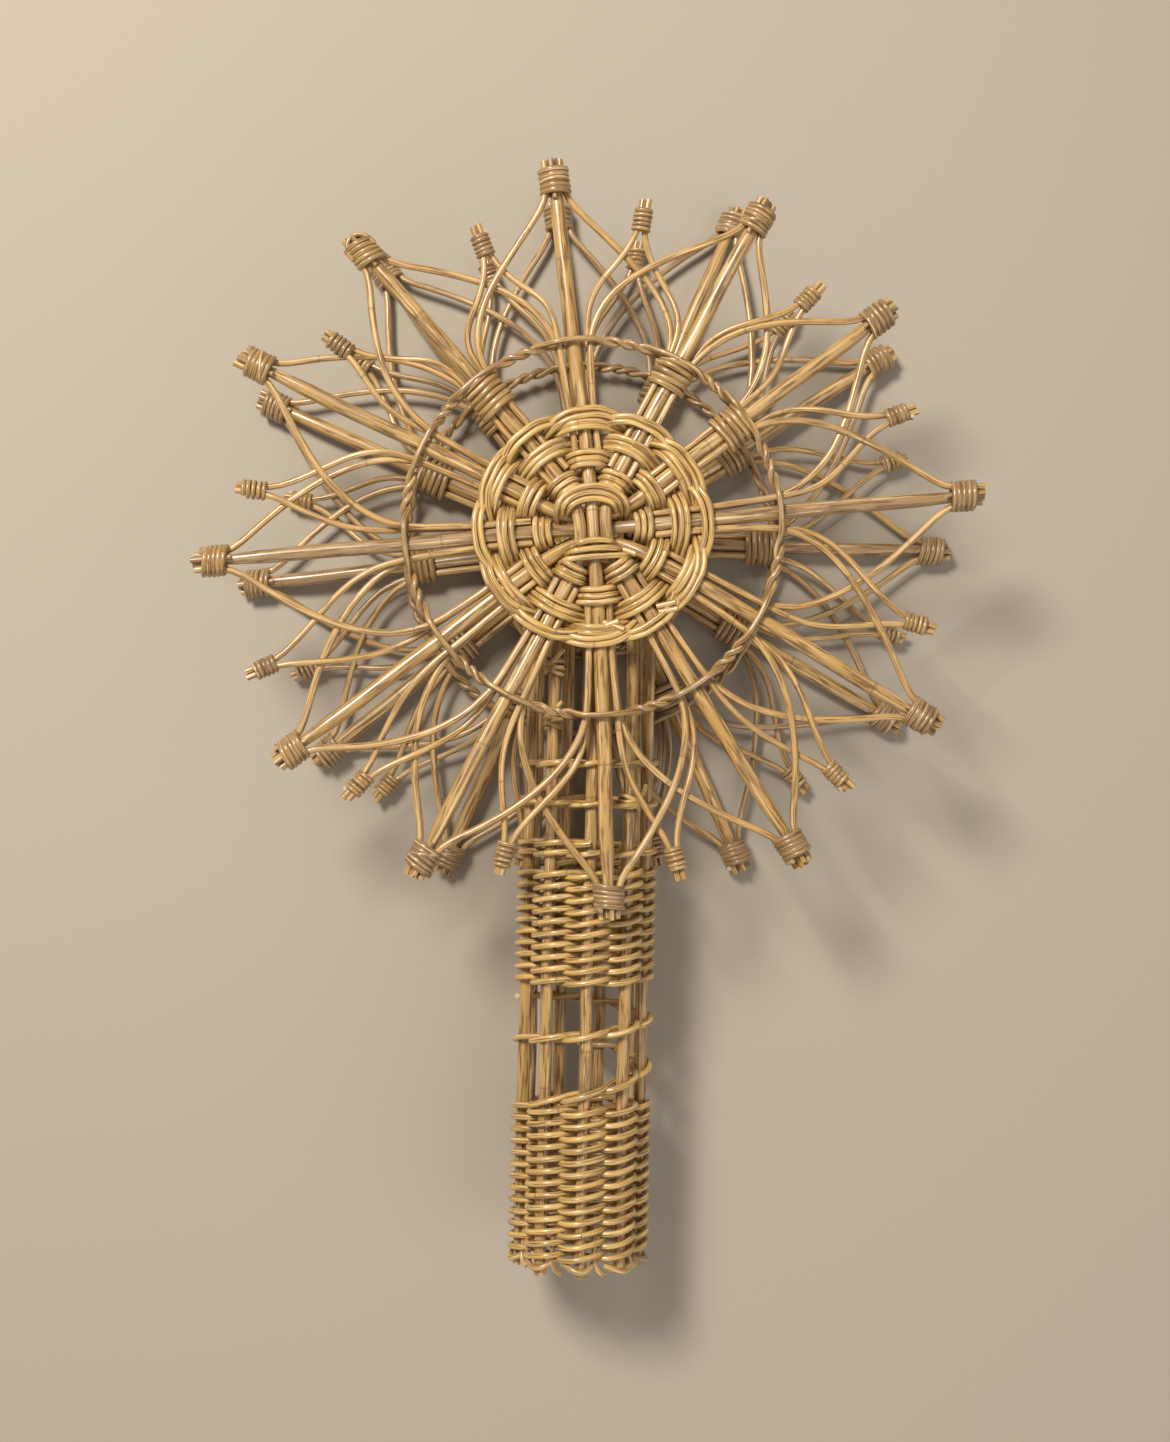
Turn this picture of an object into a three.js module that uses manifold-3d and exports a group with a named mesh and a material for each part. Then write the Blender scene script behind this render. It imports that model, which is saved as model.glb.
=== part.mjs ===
// Rattan star tree topper: two twelve-ray stars, front and back, on a woven tube for the tip of a tree.
// Millimetres, +Z up. The topper lies on its back star, the tube along -Y and the front star facing up.
// Pieces are placed about the tube's axis, the hub centres at x = y = 0, and set on the ground at the end.
import * as THREE from "three";
import { mergeVertices } from "three/addons/utils/BufferGeometryUtils.js";
import Module from "manifold-3d";

const wasm = await Module();
wasm.setup();

// Cane sizes
const spokeDiameter = 6.4;
const petalRodDiameter = 2.9;
const sideRodDiameter = 2.7;
const stakeDiameter = 5.5;
const tubeWeaverDiameter = 2.5;
const hubWeaverDiameter = 2.8;
const ringStrandDiameter = 2.6;
const clearance = 0.3;
const fusedDepth = 0.2;
const sliverSize = 0.01;

// Sides of the faceted rods
const spokeSides = 6;
const stakeSides = 6;
const rodSides = 3;
const stripSides = 4;

// Stars: hours run clockwise as on a clock, reach is from the hub centre to the cut ends, lean is clockwise
const hours = [1, 2, 3, 4, 5, 6, 7, 8, 9, 10, 11, 12];
const topHour = Math.max(...hours);
const rightHour = topHour / 4;
const hourAngle = 30;
const starTurn = 5.8;
const frontReach = [163, 164, 172, 174, 173, 171, 171, 172, 174.5, 171, 165, 162];
const frontLean = [2.5, -2, -0.5, 4.5, 2.5, 2, 1.5, -2.5, -1, 0, -5.5, -2];
const backReach = [182, 176, 174, 172, 171, 171, 171, 167, 169, 175, 175.5, 170.5];
const backLean = [-2, 1, 4.5, 4, 9, 2, -1, -3.5, -1.5, -1, -2, -1];

// Side tips between the rays, each listed with the hour before it
const frontSideReach = [147, 151.5, 156, 160, 158, 156.5, 160, 164, 157, 144.5, 142, 146];
const frontSideLean = [2.5, -1, 6, 5, 5.5, 4.5, 1.5, -4, -4.5, -5, -2, -1.5];
const backSideReach = [152, 161, 158, 156, 155, 156, 158, 155.5, 149.5, 151, 151, 152];
const backSideLean = [0, 3, 5, 7.5, 7, 2, 0, -4, -1, -1, -0.5, -1.5];

// Tip bindings
const bindingDiameter = 13;
const bindingLength = 13;
const sideBindingDiameter = 8.4;
const sideBindingLength = 12;
const cutEndLength = 3;
const cutEndDiameter = 9.4;
const sideCutEndDiameter = 6;

// Hub: the outer spokes of each group of three level out at levelRadius
const levelRadius = 32;
const hubEdgeRadius = 52;
const rowInsets = [29, 22, 14.5, 6];
const rowRadii = rowInsets.map((inset) => hubEdgeRadius - inset);
const rowStrands = [2, 2, 2, 3];
const rowFlat = 3.9;

// Centre wraps over the upper group of spokes
const wrapWidth = 6;
const wrapPlace = 16;
const wrapFootAngle = 45;

// Petals
const bowLeaveRadius = 80;
const bowPull = 34;
const bowArrivalPull = 26;
const bowArrivalAngle = 46;
const sideBowPull = 30;
const sideBowArrivalPull = 26;
const sideBowArrivalAngle = 18;
const bowSteps = 4;
const sideBowSteps = 3;
const sideBowRise = [0.33, 0.67];

// Rings, each a pair of strands that weaves through the rays
const ringStrands = 2;
const frontRingRadius = 82;
const backRingRadius = 88;

// Tube
const stakeCount = 9;
const stakeCircleRadius = 26.7;
const stakeTurn = 2;
const tubeShift = 1.5;
const stakeTop = -54;
const stakeFoot = -329;
const upperBandTop = -146;
const upperBandFoot = -204;
const lowerBandTop = -252;
const lowerBandFoot = -326;
const midTwistTurns = 2;
const topTwistTurns = 2;
const topTwistTop = -101;
const twistStrands = 2;
const twistFlat = 7;

// Colours of the cane
const honeyCane = 0xc8964f;
const paleCane = 0xd3a763;
const goldenCane = 0xcda05a;
const brownCane = 0x94673a;

// A round rod drawn with few sides keeps its area: its middle to a corner, and then to a flat
const toRadians = (degrees) => (degrees * Math.PI) / 180;

function corner(diameter, sides) {
  const turn = (2 * Math.PI) / sides;
  return (diameter / 2) * Math.sqrt(turn / Math.sin(turn));
}

const flat = (diameter, sides) => corner(diameter, sides) * Math.cos(Math.PI / sides);

// Heights above the tube's axis, for a star that clears the stakes and tips that clear the woven bands
const bandRadius = stakeCircleRadius + corner(stakeDiameter, stakeSides) + tubeWeaverDiameter;
const starPlane =
  stakeCircleRadius + corner(stakeDiameter, stakeSides) + clearance + flat(spokeDiameter, spokeSides);
const tipHeight = bandRadius + clearance + flat(bindingDiameter, spokeSides);
const bandRayReach = Math.min(frontReach[hours.indexOf(6)], backReach[hours.indexOf(6)]);
const riseSlope = (tipHeight - starPlane) / (bandRayReach - bindingLength - cutEndLength);
const crossLift = flat(spokeDiameter, spokeSides) + clearance / 2;
const groupSpacing = 2 * corner(spokeDiameter, spokeSides) + clearance;
const crossReach = groupSpacing / Math.tan(toRadians(hourAngle));
const crossRadius = Math.hypot(groupSpacing, crossReach);

// Rods of a petal turn a flat face to the spoke and an edge outwards, so they are taller than wide.
// A bow and a side rod run along the spoke one above the other, and rods that cross touch by fusedDepth.
const rodOffset = corner(spokeDiameter, spokeSides) + clearance + flat(petalRodDiameter, rodSides);
const bowHalfHeight = corner(petalRodDiameter, rodSides) * Math.sin(Math.PI / rodSides);
const sideHalfHeight = corner(sideRodDiameter, rodSides) * Math.sin(Math.PI / rodSides);
const bowLayer = bowHalfHeight - fusedDepth / 2;
const sideStartLayer = bowLayer - bowHalfHeight - sideHalfHeight - clearance;
const sideEndLayer = -bowLayer + bowHalfHeight + sideHalfHeight - fusedDepth;
const bundleHalfWidth = rodOffset + corner(petalRodDiameter, rodSides);
const bundleHalfHeight = Math.max(flat(spokeDiameter, spokeSides), sideHalfHeight - sideStartLayer);

// Sections are lists of corners, across and up
function roundSection(diameter, sides, firstCorner = Math.PI / 2 + Math.PI / sides) {
  const radius = corner(diameter, sides);
  const step = (2 * Math.PI) / sides;
  return Array.from({ length: sides }, (_, i) => {
    const angle = firstCorner + step * i;
    return new THREE.Vector2(radius * Math.cos(angle), radius * Math.sin(angle));
  });
}

function stripSection(width, thickness) {
  return [
    new THREE.Vector2(width / 2, thickness / 2),
    new THREE.Vector2(-width / 2, thickness / 2),
    new THREE.Vector2(-width / 2, -thickness / 2),
    new THREE.Vector2(width / 2, -thickness / 2),
  ];
}

// A path is a list of stations: at and up are vectors, along and size are optional
function alongPath(path, i, closed) {
  const station = path[i];
  if (station.along) return station.along.clone();
  const before = path[closed ? (i + path.length - 1) % path.length : Math.max(i - 1, 0)];
  const after = path[closed ? (i + 1) % path.length : Math.min(i + 1, path.length - 1)];
  const into = station.at.clone().sub(before.at).normalize();
  const onward = after.at.clone().sub(station.at).normalize();
  return into.add(onward).normalize();
}

// Sweeps a section along a path as one closed surface, open-ended with flat caps or joined into a loop
function sweep(path, section, closed = false) {
  const corners = [];
  path.forEach((station, i) => {
    const along = alongPath(path, i, closed);
    const across = along.clone().cross(station.up).normalize();
    const rise = across.clone().cross(along);
    for (const point of section) {
      const place = station.at.clone();
      place.addScaledVector(across, point.x * (station.size ?? 1));
      place.addScaledVector(rise, point.y * (station.size ?? 1));
      corners.push(place.x, place.y, place.z);
    }
  });
  const sides = section.length;
  const faces = [];
  const spans = closed ? path.length : path.length - 1;
  for (let i = 0; i < spans; i += 1) {
    const here = i * sides;
    const next = ((i + 1) % path.length) * sides;
    for (let j = 0; j < sides; j += 1) {
      const k = (j + 1) % sides;
      faces.push(here + j, next + k, here + k, here + j, next + j, next + k);
    }
  }
  if (!closed) {
    const last = (path.length - 1) * sides;
    for (let j = 1; j < sides - 1; j += 1) {
      faces.push(0, j, j + 1);
      faces.push(last, last + j + 1, last + j);
    }
  }
  const geometry = new THREE.BufferGeometry();
  geometry.setAttribute("position", new THREE.Float32BufferAttribute(corners, 3));
  geometry.setIndex(faces);
  return geometry;
}

// Solids are joined or cut as manifolds and come back as plain geometry
function solid(geometry) {
  const bare = geometry.clone();
  bare.deleteAttribute("normal");
  bare.deleteAttribute("uv");
  const merged = mergeVertices(bare, 1e-4);
  return new wasm.Manifold(
    new wasm.Mesh({
      numProp: 3,
      vertProperties: new Float32Array(merged.attributes.position.array),
      triVerts: new Uint32Array(merged.index.array),
    }),
  );
}

function fuse(geometries, cutters = []) {
  const joined = geometries.map(solid).reduce((sum, next) => sum.add(next));
  const whole = cutters.map(solid).reduce((rest, next) => rest.subtract(next), joined);
  const mesh = whole.getMesh();
  const geometry = new THREE.BufferGeometry();
  geometry.setAttribute("position", new THREE.Float32BufferAttribute(mesh.vertProperties, 3));
  geometry.setIndex(Array.from(mesh.triVerts));
  return withoutSlivers(geometry);
}

// Corners that a join leaves almost on each other become one, and faces that this closes up are dropped
function withoutSlivers(geometry) {
  const merged = mergeVertices(geometry, sliverSize);
  const kept = [];
  const corners = merged.index.array;
  for (let i = 0; i < corners.length; i += 3) {
    const [a, b, c] = [corners[i], corners[i + 1], corners[i + 2]];
    if (a !== b && b !== c && c !== a) kept.push(a, b, c);
  }
  merged.setIndex(kept);
  return merged;
}

const topper = new THREE.Group();

function addPiece(name, geometry, colour, roughness) {
  const material = new THREE.MeshStandardMaterial({ color: colour, roughness, metalness: 0 });
  geometry.computeVertexNormals();
  const mesh = new THREE.Mesh(geometry, material);
  mesh.name = name;
  topper.add(mesh);
  return mesh;
}

// A star is described by the side it faces, the reach and lean of its rays and side tips, and its ring
const stars = [
  {
    name: "front",
    face: 1,
    reach: frontReach,
    lean: frontLean,
    sideReach: frontSideReach,
    sideLean: frontSideLean,
    ringRadius: frontRingRadius,
  },
  {
    name: "back",
    face: -1,
    reach: backReach,
    lean: backLean,
    sideReach: backSideReach,
    sideLean: backSideLean,
    ringRadius: backRingRadius,
  },
];

const isUpright = (hour) => [11, 12, 1, 5, 6, 7].includes(hour);

function polar(radius, degrees) {
  const angle = toRadians(degrees);
  return new THREE.Vector2(radius * Math.cos(angle), radius * Math.sin(angle));
}

const clockAngle = (hour) => 90 - hourAngle * hour + starTurn;

// Height of a spoke's middle above the tube's axis: the upright group crosses over the level group
function spokeHeight(radius, hour) {
  const fade = THREE.MathUtils.clamp((levelRadius - radius) / (levelRadius - crossRadius), 0, 1);
  const layer = isUpright(hour) ? crossLift : -crossLift;
  return starPlane + riseSlope * radius + layer * fade;
}

function place(star, flatPoint, height) {
  return new THREE.Vector3(flatPoint.x, flatPoint.y, star.face * height);
}

const upOf = (star) => new THREE.Vector3(0, 0, star.face);

// A ray runs straight from where the spokes level out to its tip
function rayOf(star, hour) {
  const index = hours.indexOf(hour);
  const base = polar(levelRadius, clockAngle(hour));
  const end = polar(star.reach[index], clockAngle(hour) - star.lean[index]);
  const along = end.clone().sub(base).normalize();
  return {
    hour,
    base,
    along,
    clockwise: new THREE.Vector2(along.y, -along.x),
    reach: levelRadius + end.distanceTo(base),
  };
}

function onRay(ray, radius, offset = 0) {
  return ray.base
    .clone()
    .addScaledVector(ray.along, radius - levelRadius)
    .addScaledVector(ray.clockwise, offset);
}

// Stations of a tip from the cut ends inwards, or outwards when turned round
function tipStations(star, ray) {
  const up = upOf(star);
  const bindingEnd = ray.reach - cutEndLength;
  const bindingStart = bindingEnd - bindingLength;
  const along = place(star, onRay(ray, 0), spokeHeight(0, topHour))
    .sub(place(star, onRay(ray, ray.reach), spokeHeight(ray.reach, ray.hour)))
    .normalize();
  const sizes = [
    [ray.reach, cutEndDiameter],
    [bindingEnd, cutEndDiameter],
    [bindingEnd, bindingDiameter],
    [bindingStart, bindingDiameter],
    [bindingStart, spokeDiameter],
  ];
  return sizes.map(([radius, diameter]) => ({
    at: place(star, onRay(ray, radius), spokeHeight(radius, ray.hour)),
    up,
    along,
    size: diameter / spokeDiameter,
  }));
}

// Where a spoke enters the crossing: the middle one of its group on the centre line, the others beside it
function crossStation(star, hour) {
  const centred = hour % 6 === (isUpright(hour) ? topHour : rightHour) % 6;
  const flatPoint = polar(centred ? crossReach : crossRadius, clockAngle(hour));
  return { at: place(star, flatPoint, spokeHeight(crossRadius, hour)), up: upOf(star) };
}

function spoke(star, hour, partner, diameter = spokeDiameter) {
  const ray = rayOf(star, hour);
  const opposite = rayOf(star, partner);
  const level = (one) => ({
    at: place(star, one.base, spokeHeight(levelRadius, one.hour)),
    up: upOf(star),
  });
  const farTip = tipStations(star, opposite).reverse();
  farTip.forEach((station) => station.along.negate());
  const path = [
    ...tipStations(star, ray),
    level(ray),
    crossStation(star, hour),
    crossStation(star, partner),
    level(opposite),
    ...farTip,
  ];
  return sweep(path, roundSection(diameter, spokeSides));
}

// A bow leaves one spoke along its side and bends over to its end point, at the heights of layerAt
function bow(star, ray, sideways, layerAt, end, endAlong, pulls, diameter, steps) {
  const startOffset = sideways * rodOffset;
  const leave = onRay(ray, bowLeaveRadius, startOffset);
  const curve = new THREE.CubicBezierCurve(
    leave,
    leave.clone().addScaledVector(ray.along, pulls[0]),
    end.clone().addScaledVector(endAlong, -pulls[1]),
    end,
  );
  const points = [onRay(ray, hubEdgeRadius + clearance, startOffset), ...curve.getPoints(steps)];
  const path = points.map((point, i) => {
    const height = starPlane + riseSlope * point.length() + layerAt(Math.max(i - 1, 0) / steps);
    return { at: place(star, point, height), up: upOf(star) };
  });
  const awayFromSpoke = sideways * star.face > 0 ? 0 : Math.PI;
  return sweep(path, roundSection(diameter, rodSides, awayFromSpoke));
}

function turned(direction, degrees) {
  return direction.clone().rotateAround(new THREE.Vector2(0, 0), toRadians(degrees));
}

// A side rod starts on the far side of the bow that it runs along, and settles on the near side of the next
function sideLayer(share) {
  const [from, to] = sideBowRise;
  const risen = THREE.MathUtils.clamp((share - from) / (to - from), 0, 1);
  return THREE.MathUtils.lerp(sideStartLayer, sideEndLayer, risen);
}

// The four rods and the side binding between two neighbouring spokes
function petal(star, hour) {
  const index = hours.indexOf(hour);
  const left = rayOf(star, hour);
  const right = rayOf(star, (hour % 12) + 1);
  const endReach = corner(petalRodDiameter, rodSides);
  const endOffset = corner(spokeDiameter, spokeSides) + clearance + endReach;
  const endRadius = (ray) => ray.reach - cutEndLength - bindingLength - clearance - endReach;
  const pulls = [bowPull, bowArrivalPull];
  const parts = [
    bow(
      star, left, 1, () => bowLayer,
      onRay(right, endRadius(right), -endOffset), turned(right.along, -bowArrivalAngle),
      pulls, petalRodDiameter, bowSteps,
    ),
    bow(
      star, right, -1, () => -bowLayer,
      onRay(left, endRadius(left), endOffset), turned(left.along, bowArrivalAngle),
      pulls, petalRodDiameter, bowSteps,
    ),
  ];
  const sideAngle = clockAngle(hour + 0.5) - star.sideLean[index];
  const outward = polar(1, sideAngle);
  const clockwise = new THREE.Vector2(outward.y, -outward.x);
  const bindingEnd = star.sideReach[index] - cutEndLength;
  const bindingStart = bindingEnd - sideBindingLength;
  const rodEnd = (bindingStart + bindingEnd) / 2;
  const spread = flat(sideRodDiameter, rodSides);
  const sidePulls = [sideBowPull, sideBowArrivalPull];
  for (const [ray, sideways] of [[left, 1], [right, -1]]) {
    const end = outward.clone().multiplyScalar(rodEnd).addScaledVector(clockwise, -sideways * spread);
    parts.push(
      bow(
        star, ray, sideways, (share) => sideways * sideLayer(share),
        end, turned(outward, -sideways * sideBowArrivalAngle),
        sidePulls, sideRodDiameter, sideBowSteps,
      ),
    );
  }
  const sizes = [
    [bindingStart, sideBindingDiameter],
    [bindingEnd, sideBindingDiameter],
    [bindingEnd, sideCutEndDiameter],
    [star.sideReach[index], sideCutEndDiameter],
  ];
  const along = new THREE.Vector3(outward.x, outward.y, star.face * riseSlope).normalize();
  const tip = sizes.map(([radius, diameter]) => ({
    at: place(star, outward.clone().multiplyScalar(radius), starPlane + riseSlope * radius),
    up: upOf(star),
    along,
    size: diameter / sideBindingDiameter,
  }));
  parts.push(sweep(tip, roundSection(sideBindingDiameter, spokeSides)));
  return fuse(parts);
}

// Stations of a strand that goes over one ray and under the next, flat for a length on each side of a ray
function overUnder(star, radius, halfFlat, offset, evenOver) {
  const stations = [];
  hours.forEach((hour) => {
    const over = (hour % 2 === 0) === evenOver ? 1 : -1;
    const height = spokeHeight(radius, hour) + over * offset;
    const ray = rayOf(star, hour);
    const middle = radius < levelRadius ? polar(radius, clockAngle(hour)) : onRay(ray, radius);
    for (const way of [-1, 1]) {
      const point = middle.clone().addScaledVector(ray.clockwise, way * halfFlat);
      stations.push({ at: place(star, point, height), up: polarUp(star, point) });
    }
  });
  return stations;
}

// A direction that leans outwards, so that a strip keeps its width across the steep parts of the weave
function polarUp(star, point) {
  const outward = point.clone().normalize();
  return new THREE.Vector3(outward.x, outward.y, 0).multiplyScalar(star.face);
}

function hubRow(star, index) {
  const thickness = 2 * flat(hubWeaverDiameter, stripSides);
  const width = rowStrands[index] * hubWeaverDiameter;
  const slope = rowRadii[index] < levelRadius ? crossLift / (levelRadius - crossRadius) : 0;
  const offset = flat(spokeDiameter, spokeSides) + clearance + thickness / 2 + (slope * width) / 2;
  const path = overUnder(star, rowRadii[index], rowFlat, offset, index % 2 === 1);
  return sweep(path, stripSection(thickness, width), true);
}

// A wrap bridges the upright spokes beside the crossing, with a foot on each side that joins the first row
function centreWrap(star, way) {
  const rowHeight = (spokeHeight(rowRadii[0], topHour) + spokeHeight(rowRadii[0], rightHour)) / 2;
  const aboveSpoke = flat(spokeDiameter, spokeSides) + clearance + hubWeaverDiameter / 2;
  const top = spokeHeight(crossRadius, topHour) + aboveSpoke;
  const spokeEdge = corner(spokeDiameter, spokeSides) / Math.cos(toRadians(hourAngle)) + clearance;
  const halfSpan = (wrapPlace + wrapWidth / 2) * Math.tan(toRadians(hourAngle)) + spokeEdge;
  const foot = polar(rowRadii[0], wrapFootAngle);
  const turn = toRadians(starTurn);
  const origin = new THREE.Vector2(0, 0);
  const points = [
    [-foot.x, way * foot.y, rowHeight],
    [-halfSpan, way * wrapPlace, top],
    [halfSpan, way * wrapPlace, top],
    [foot.x, way * foot.y, rowHeight],
  ];
  const up = polarUp(star, new THREE.Vector2(0, way).rotateAround(origin, turn));
  const path = points.map(([x, y, height]) => {
    const point = new THREE.Vector2(x, y).rotateAround(origin, turn);
    return { at: place(star, point, height), up };
  });
  return sweep(path, stripSection(hubWeaverDiameter, wrapWidth));
}

function ring(star) {
  const halfFlat = bundleHalfWidth + ringStrandDiameter / 2;
  const offset = bundleHalfHeight + clearance + ringStrandDiameter / 2;
  const section = stripSection(ringStrandDiameter, ringStrands * ringStrandDiameter);
  return sweep(overUnder(star, star.ringRadius, halfFlat, offset, true), section, true);
}

for (const star of stars) {
  const pairs = [[12, 6], [1, 5], [11, 7], [3, 9], [2, 10], [4, 8]];
  const roomForSpokes = pairs.map(([hour, partner]) =>
    spoke(star, hour, partner, spokeDiameter + 2 * clearance),
  );
  const wraps = [1, -1].map((way) => fuse([centreWrap(star, way)], roomForSpokes));
  for (const [hour, partner] of pairs) {
    addPiece(`${star.name}_spoke_${hour}_${partner}`, spoke(star, hour, partner), honeyCane, 0.5);
  }
  for (const hour of hours) {
    const label = String(hour).padStart(2, "0");
    addPiece(`${star.name}_petal_${label}`, petal(star, hour), paleCane, 0.45);
  }
  rowRadii.forEach((_, index) => {
    const row = hubRow(star, index);
    const whole = index === 0 ? fuse([row, ...wraps]) : row;
    addPiece(`${star.name}_hub_row_${index + 1}`, whole, goldenCane, 0.45);
  });
  addPiece(`${star.name}_ring`, ring(star), brownCane, 0.55);
}

// Tube: lengths run along Y, angles start at the front and run towards +X
const stakeAngle = (number) => stakeTurn + (360 / stakeCount) * number;

function aroundTube(radius, degrees, y) {
  const angle = toRadians(degrees);
  return new THREE.Vector3(tubeShift + radius * Math.sin(angle), y, radius * Math.cos(angle));
}

function tubeOutward(degrees) {
  const angle = toRadians(degrees);
  return new THREE.Vector3(Math.sin(angle), 0, Math.cos(angle));
}

for (let number = 0; number < stakeCount; number += 1) {
  const angle = stakeAngle(number);
  const path = [stakeTop, stakeFoot].map((y) => ({
    at: aroundTube(stakeCircleRadius, angle, y),
    up: tubeOutward(angle),
  }));
  addPiece(`tube_stake_${number + 1}`, sweep(path, roundSection(stakeDiameter, stakeSides)), honeyCane, 0.5);
}

// A woven band is a scalloped sleeve with a channel for each stake, drawn looking along the tube
function band(top, foot) {
  const outerRadius = bandRadius;
  const innerRadius = 2 * stakeCircleRadius - bandRadius;
  const outline = (atStakes, between) =>
    Array.from({ length: 2 * stakeCount }, (_, half) => {
      const angle = stakeTurn + (180 / stakeCount) * half;
      const point = aroundTube(half % 2 === 0 ? atStakes : between, angle, 0);
      return new THREE.Vector2(point.x, point.z);
    });
  const shape = new THREE.Shape(outline(outerRadius, outerRadius - tubeWeaverDiameter));
  const inside = outline(innerRadius, innerRadius + tubeWeaverDiameter).reverse();
  shape.holes.push(new THREE.Path(inside));
  const channelRadius = corner(stakeDiameter, stakeSides) + clearance / Math.cos(Math.PI / stakeSides);
  for (let number = 0; number < stakeCount; number += 1) {
    const centre = aroundTube(stakeCircleRadius, stakeAngle(number), 0);
    const channel = Array.from({ length: stakeSides }, (_, side) => {
      const edge = polar(channelRadius, 90 - stakeAngle(number) + (360 / stakeSides) * (side + 0.5));
      return new THREE.Vector2(centre.x + edge.x, centre.z + edge.y);
    });
    shape.holes.push(new THREE.Path(channel));
  }
  const geometry = new THREE.ExtrudeGeometry(shape, { depth: top - foot, bevelEnabled: false });
  geometry.rotateX(Math.PI / 2);
  geometry.translate(0, top, 0);
  return geometry;
}

addPiece("tube_band_upper", band(upperBandTop, upperBandFoot), goldenCane, 0.45);
addPiece("tube_band_lower", band(lowerBandTop, lowerBandFoot), goldenCane, 0.45);

// A pair of strands climbs round the stakes as one strip, outside one stake and inside the next
function twist(top, foot, turns) {
  const away = corner(stakeDiameter, stakeSides) + clearance + tubeWeaverDiameter / 2;
  const stakesPassed = Math.round(stakeCount * turns);
  const path = [];
  for (let number = 0; number <= stakesPassed; number += 1) {
    const radius = stakeCircleRadius + (number % 2 === 0 ? away : -away);
    for (const way of [-1, 1]) {
      const angle = stakeAngle(number) + way * twistFlat;
      const share = (number + (way * twistFlat * stakeCount) / 360) / stakesPassed;
      const y = THREE.MathUtils.lerp(foot, top, share);
      path.push({ at: aroundTube(radius, angle, y), up: tubeOutward(angle) });
    }
  }
  return sweep(path, stripSection(twistStrands * tubeWeaverDiameter, tubeWeaverDiameter));
}

const twistGap = clearance + twistStrands * tubeWeaverDiameter;
addPiece(
  "tube_twist_middle",
  twist(upperBandFoot - twistGap, lowerBandTop + twistGap, midTwistTurns),
  goldenCane,
  0.45,
);
addPiece(
  "tube_twist_top",
  twist(topTwistTop, upperBandTop + twistGap, topTwistTurns),
  goldenCane,
  0.45,
);

// Set on the ground: the origin is the middle of the underside of the topper's box
const box = new THREE.Box3().setFromObject(topper);
topper.position.set(-(box.min.x + box.max.x) / 2, -(box.min.y + box.max.y) / 2, -box.min.z);

export default topper;
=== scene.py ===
"""Looks of a rattan star tree topper: two stars of bound cane on a woven tube, lying on a pale floor."""

import math

import bpy
import numpy as np
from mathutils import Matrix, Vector


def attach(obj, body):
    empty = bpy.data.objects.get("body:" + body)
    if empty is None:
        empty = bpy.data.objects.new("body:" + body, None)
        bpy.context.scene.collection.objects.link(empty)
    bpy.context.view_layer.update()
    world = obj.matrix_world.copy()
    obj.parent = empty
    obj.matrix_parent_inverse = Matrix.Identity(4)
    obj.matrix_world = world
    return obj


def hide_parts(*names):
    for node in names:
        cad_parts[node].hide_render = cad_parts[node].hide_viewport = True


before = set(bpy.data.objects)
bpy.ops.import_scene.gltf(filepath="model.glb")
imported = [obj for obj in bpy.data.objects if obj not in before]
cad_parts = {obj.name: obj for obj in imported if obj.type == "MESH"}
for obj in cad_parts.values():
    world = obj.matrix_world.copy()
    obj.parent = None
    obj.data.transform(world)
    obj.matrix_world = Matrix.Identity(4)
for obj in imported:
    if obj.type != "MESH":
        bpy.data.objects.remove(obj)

bl_info = {
    "name": "Rattan Star Topper",
    "version": (1, 0, 0),
    "blender": (4, 5, 0),
    "location": "View3D > Sidebar > Topper",
    "description": "Weaves a rattan star tree topper over its solid model",
    "category": "Object",
}

MM = 0.001
HOURS = list(range(1, 13))

# The rays that a through spoke joins, by clock hour, and the rays of the spokes that cross on top
SPOKES = ((12, 6), (1, 5), (11, 7), (3, 9), (2, 10), (4, 8))
UPRIGHT = (11, 12, 1, 5, 6, 7)

# How weathered a spoke looks, by its first ray, and how weathered the others look
SPOKE_TINTS = {3: 0.95, 12: 0.2, 2: 0.35, 4: 0.3}
COMMON_TINT = 0.1

# Reach of each ray in millimetres from the hub centre, and its clockwise lean in degrees, by hour
FRONT_REACH = (163, 164, 172, 174, 173, 171, 171, 172, 174.5, 171, 165, 162)
FRONT_LEAN = (2.5, -2, -0.5, 4.5, 2.5, 2, 1.5, -2.5, -1, 0, -5.5, -2)
BACK_REACH = (182, 176, 174, 172, 171, 171, 171, 167, 169, 175, 175.5, 170.5)
BACK_LEAN = (-2, 1, 4.5, 4, 9, 2, -1, -3.5, -1.5, -1, -2, -1)

# The same for the side tips, each listed with the hour before it
FRONT_SIDE_REACH = (147, 151.5, 156, 160, 158, 156.5, 160, 164, 157, 144.5, 142, 146)
FRONT_SIDE_LEAN = (2.5, -1, 6, 5, 5.5, 4.5, 1.5, -4, -4.5, -5, -2, -1.5)
BACK_SIDE_REACH = (152, 161, 158, 156, 155, 156, 158, 155.5, 149.5, 151, 151, 152)
BACK_SIDE_LEAN = (0, 3, 5, 7.5, 7, 2, 0, -4, -1, -1, -0.5, -1.5)

# Hub strands: radius in millimetres, and whether the strand goes over the even hours
HUB_STRANDS = (
    *((radius, False) for radius in (19.8, 22.5, 25.2)),
    *((radius, True) for radius in (27.6, 30.3, 33.0)),
    *((radius, False) for radius in (35.7, 38.4, 41.1)),
    *((radius, True) for radius in (43.6, 46.0)),
)

# Strands laid over the upright spokes on each side of the crossing
HUB_WRAPS = 3

# A strand of the border: degrees past its ray, millimetres outwards, and height in layers above the ray
BORDER_STATIONS = (
    (-33, -7.0, -0.75),
    (-26, -5.0, -0.6),
    (-16, -1.6, 0.75),
    (-7, 0.6, 1.0),
    (7, 1.1, 1.0),
    (15, 0.4, 0.75),
    (24, -1.4, -0.35),
    (33, -3.2, -0.95),
)

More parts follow.
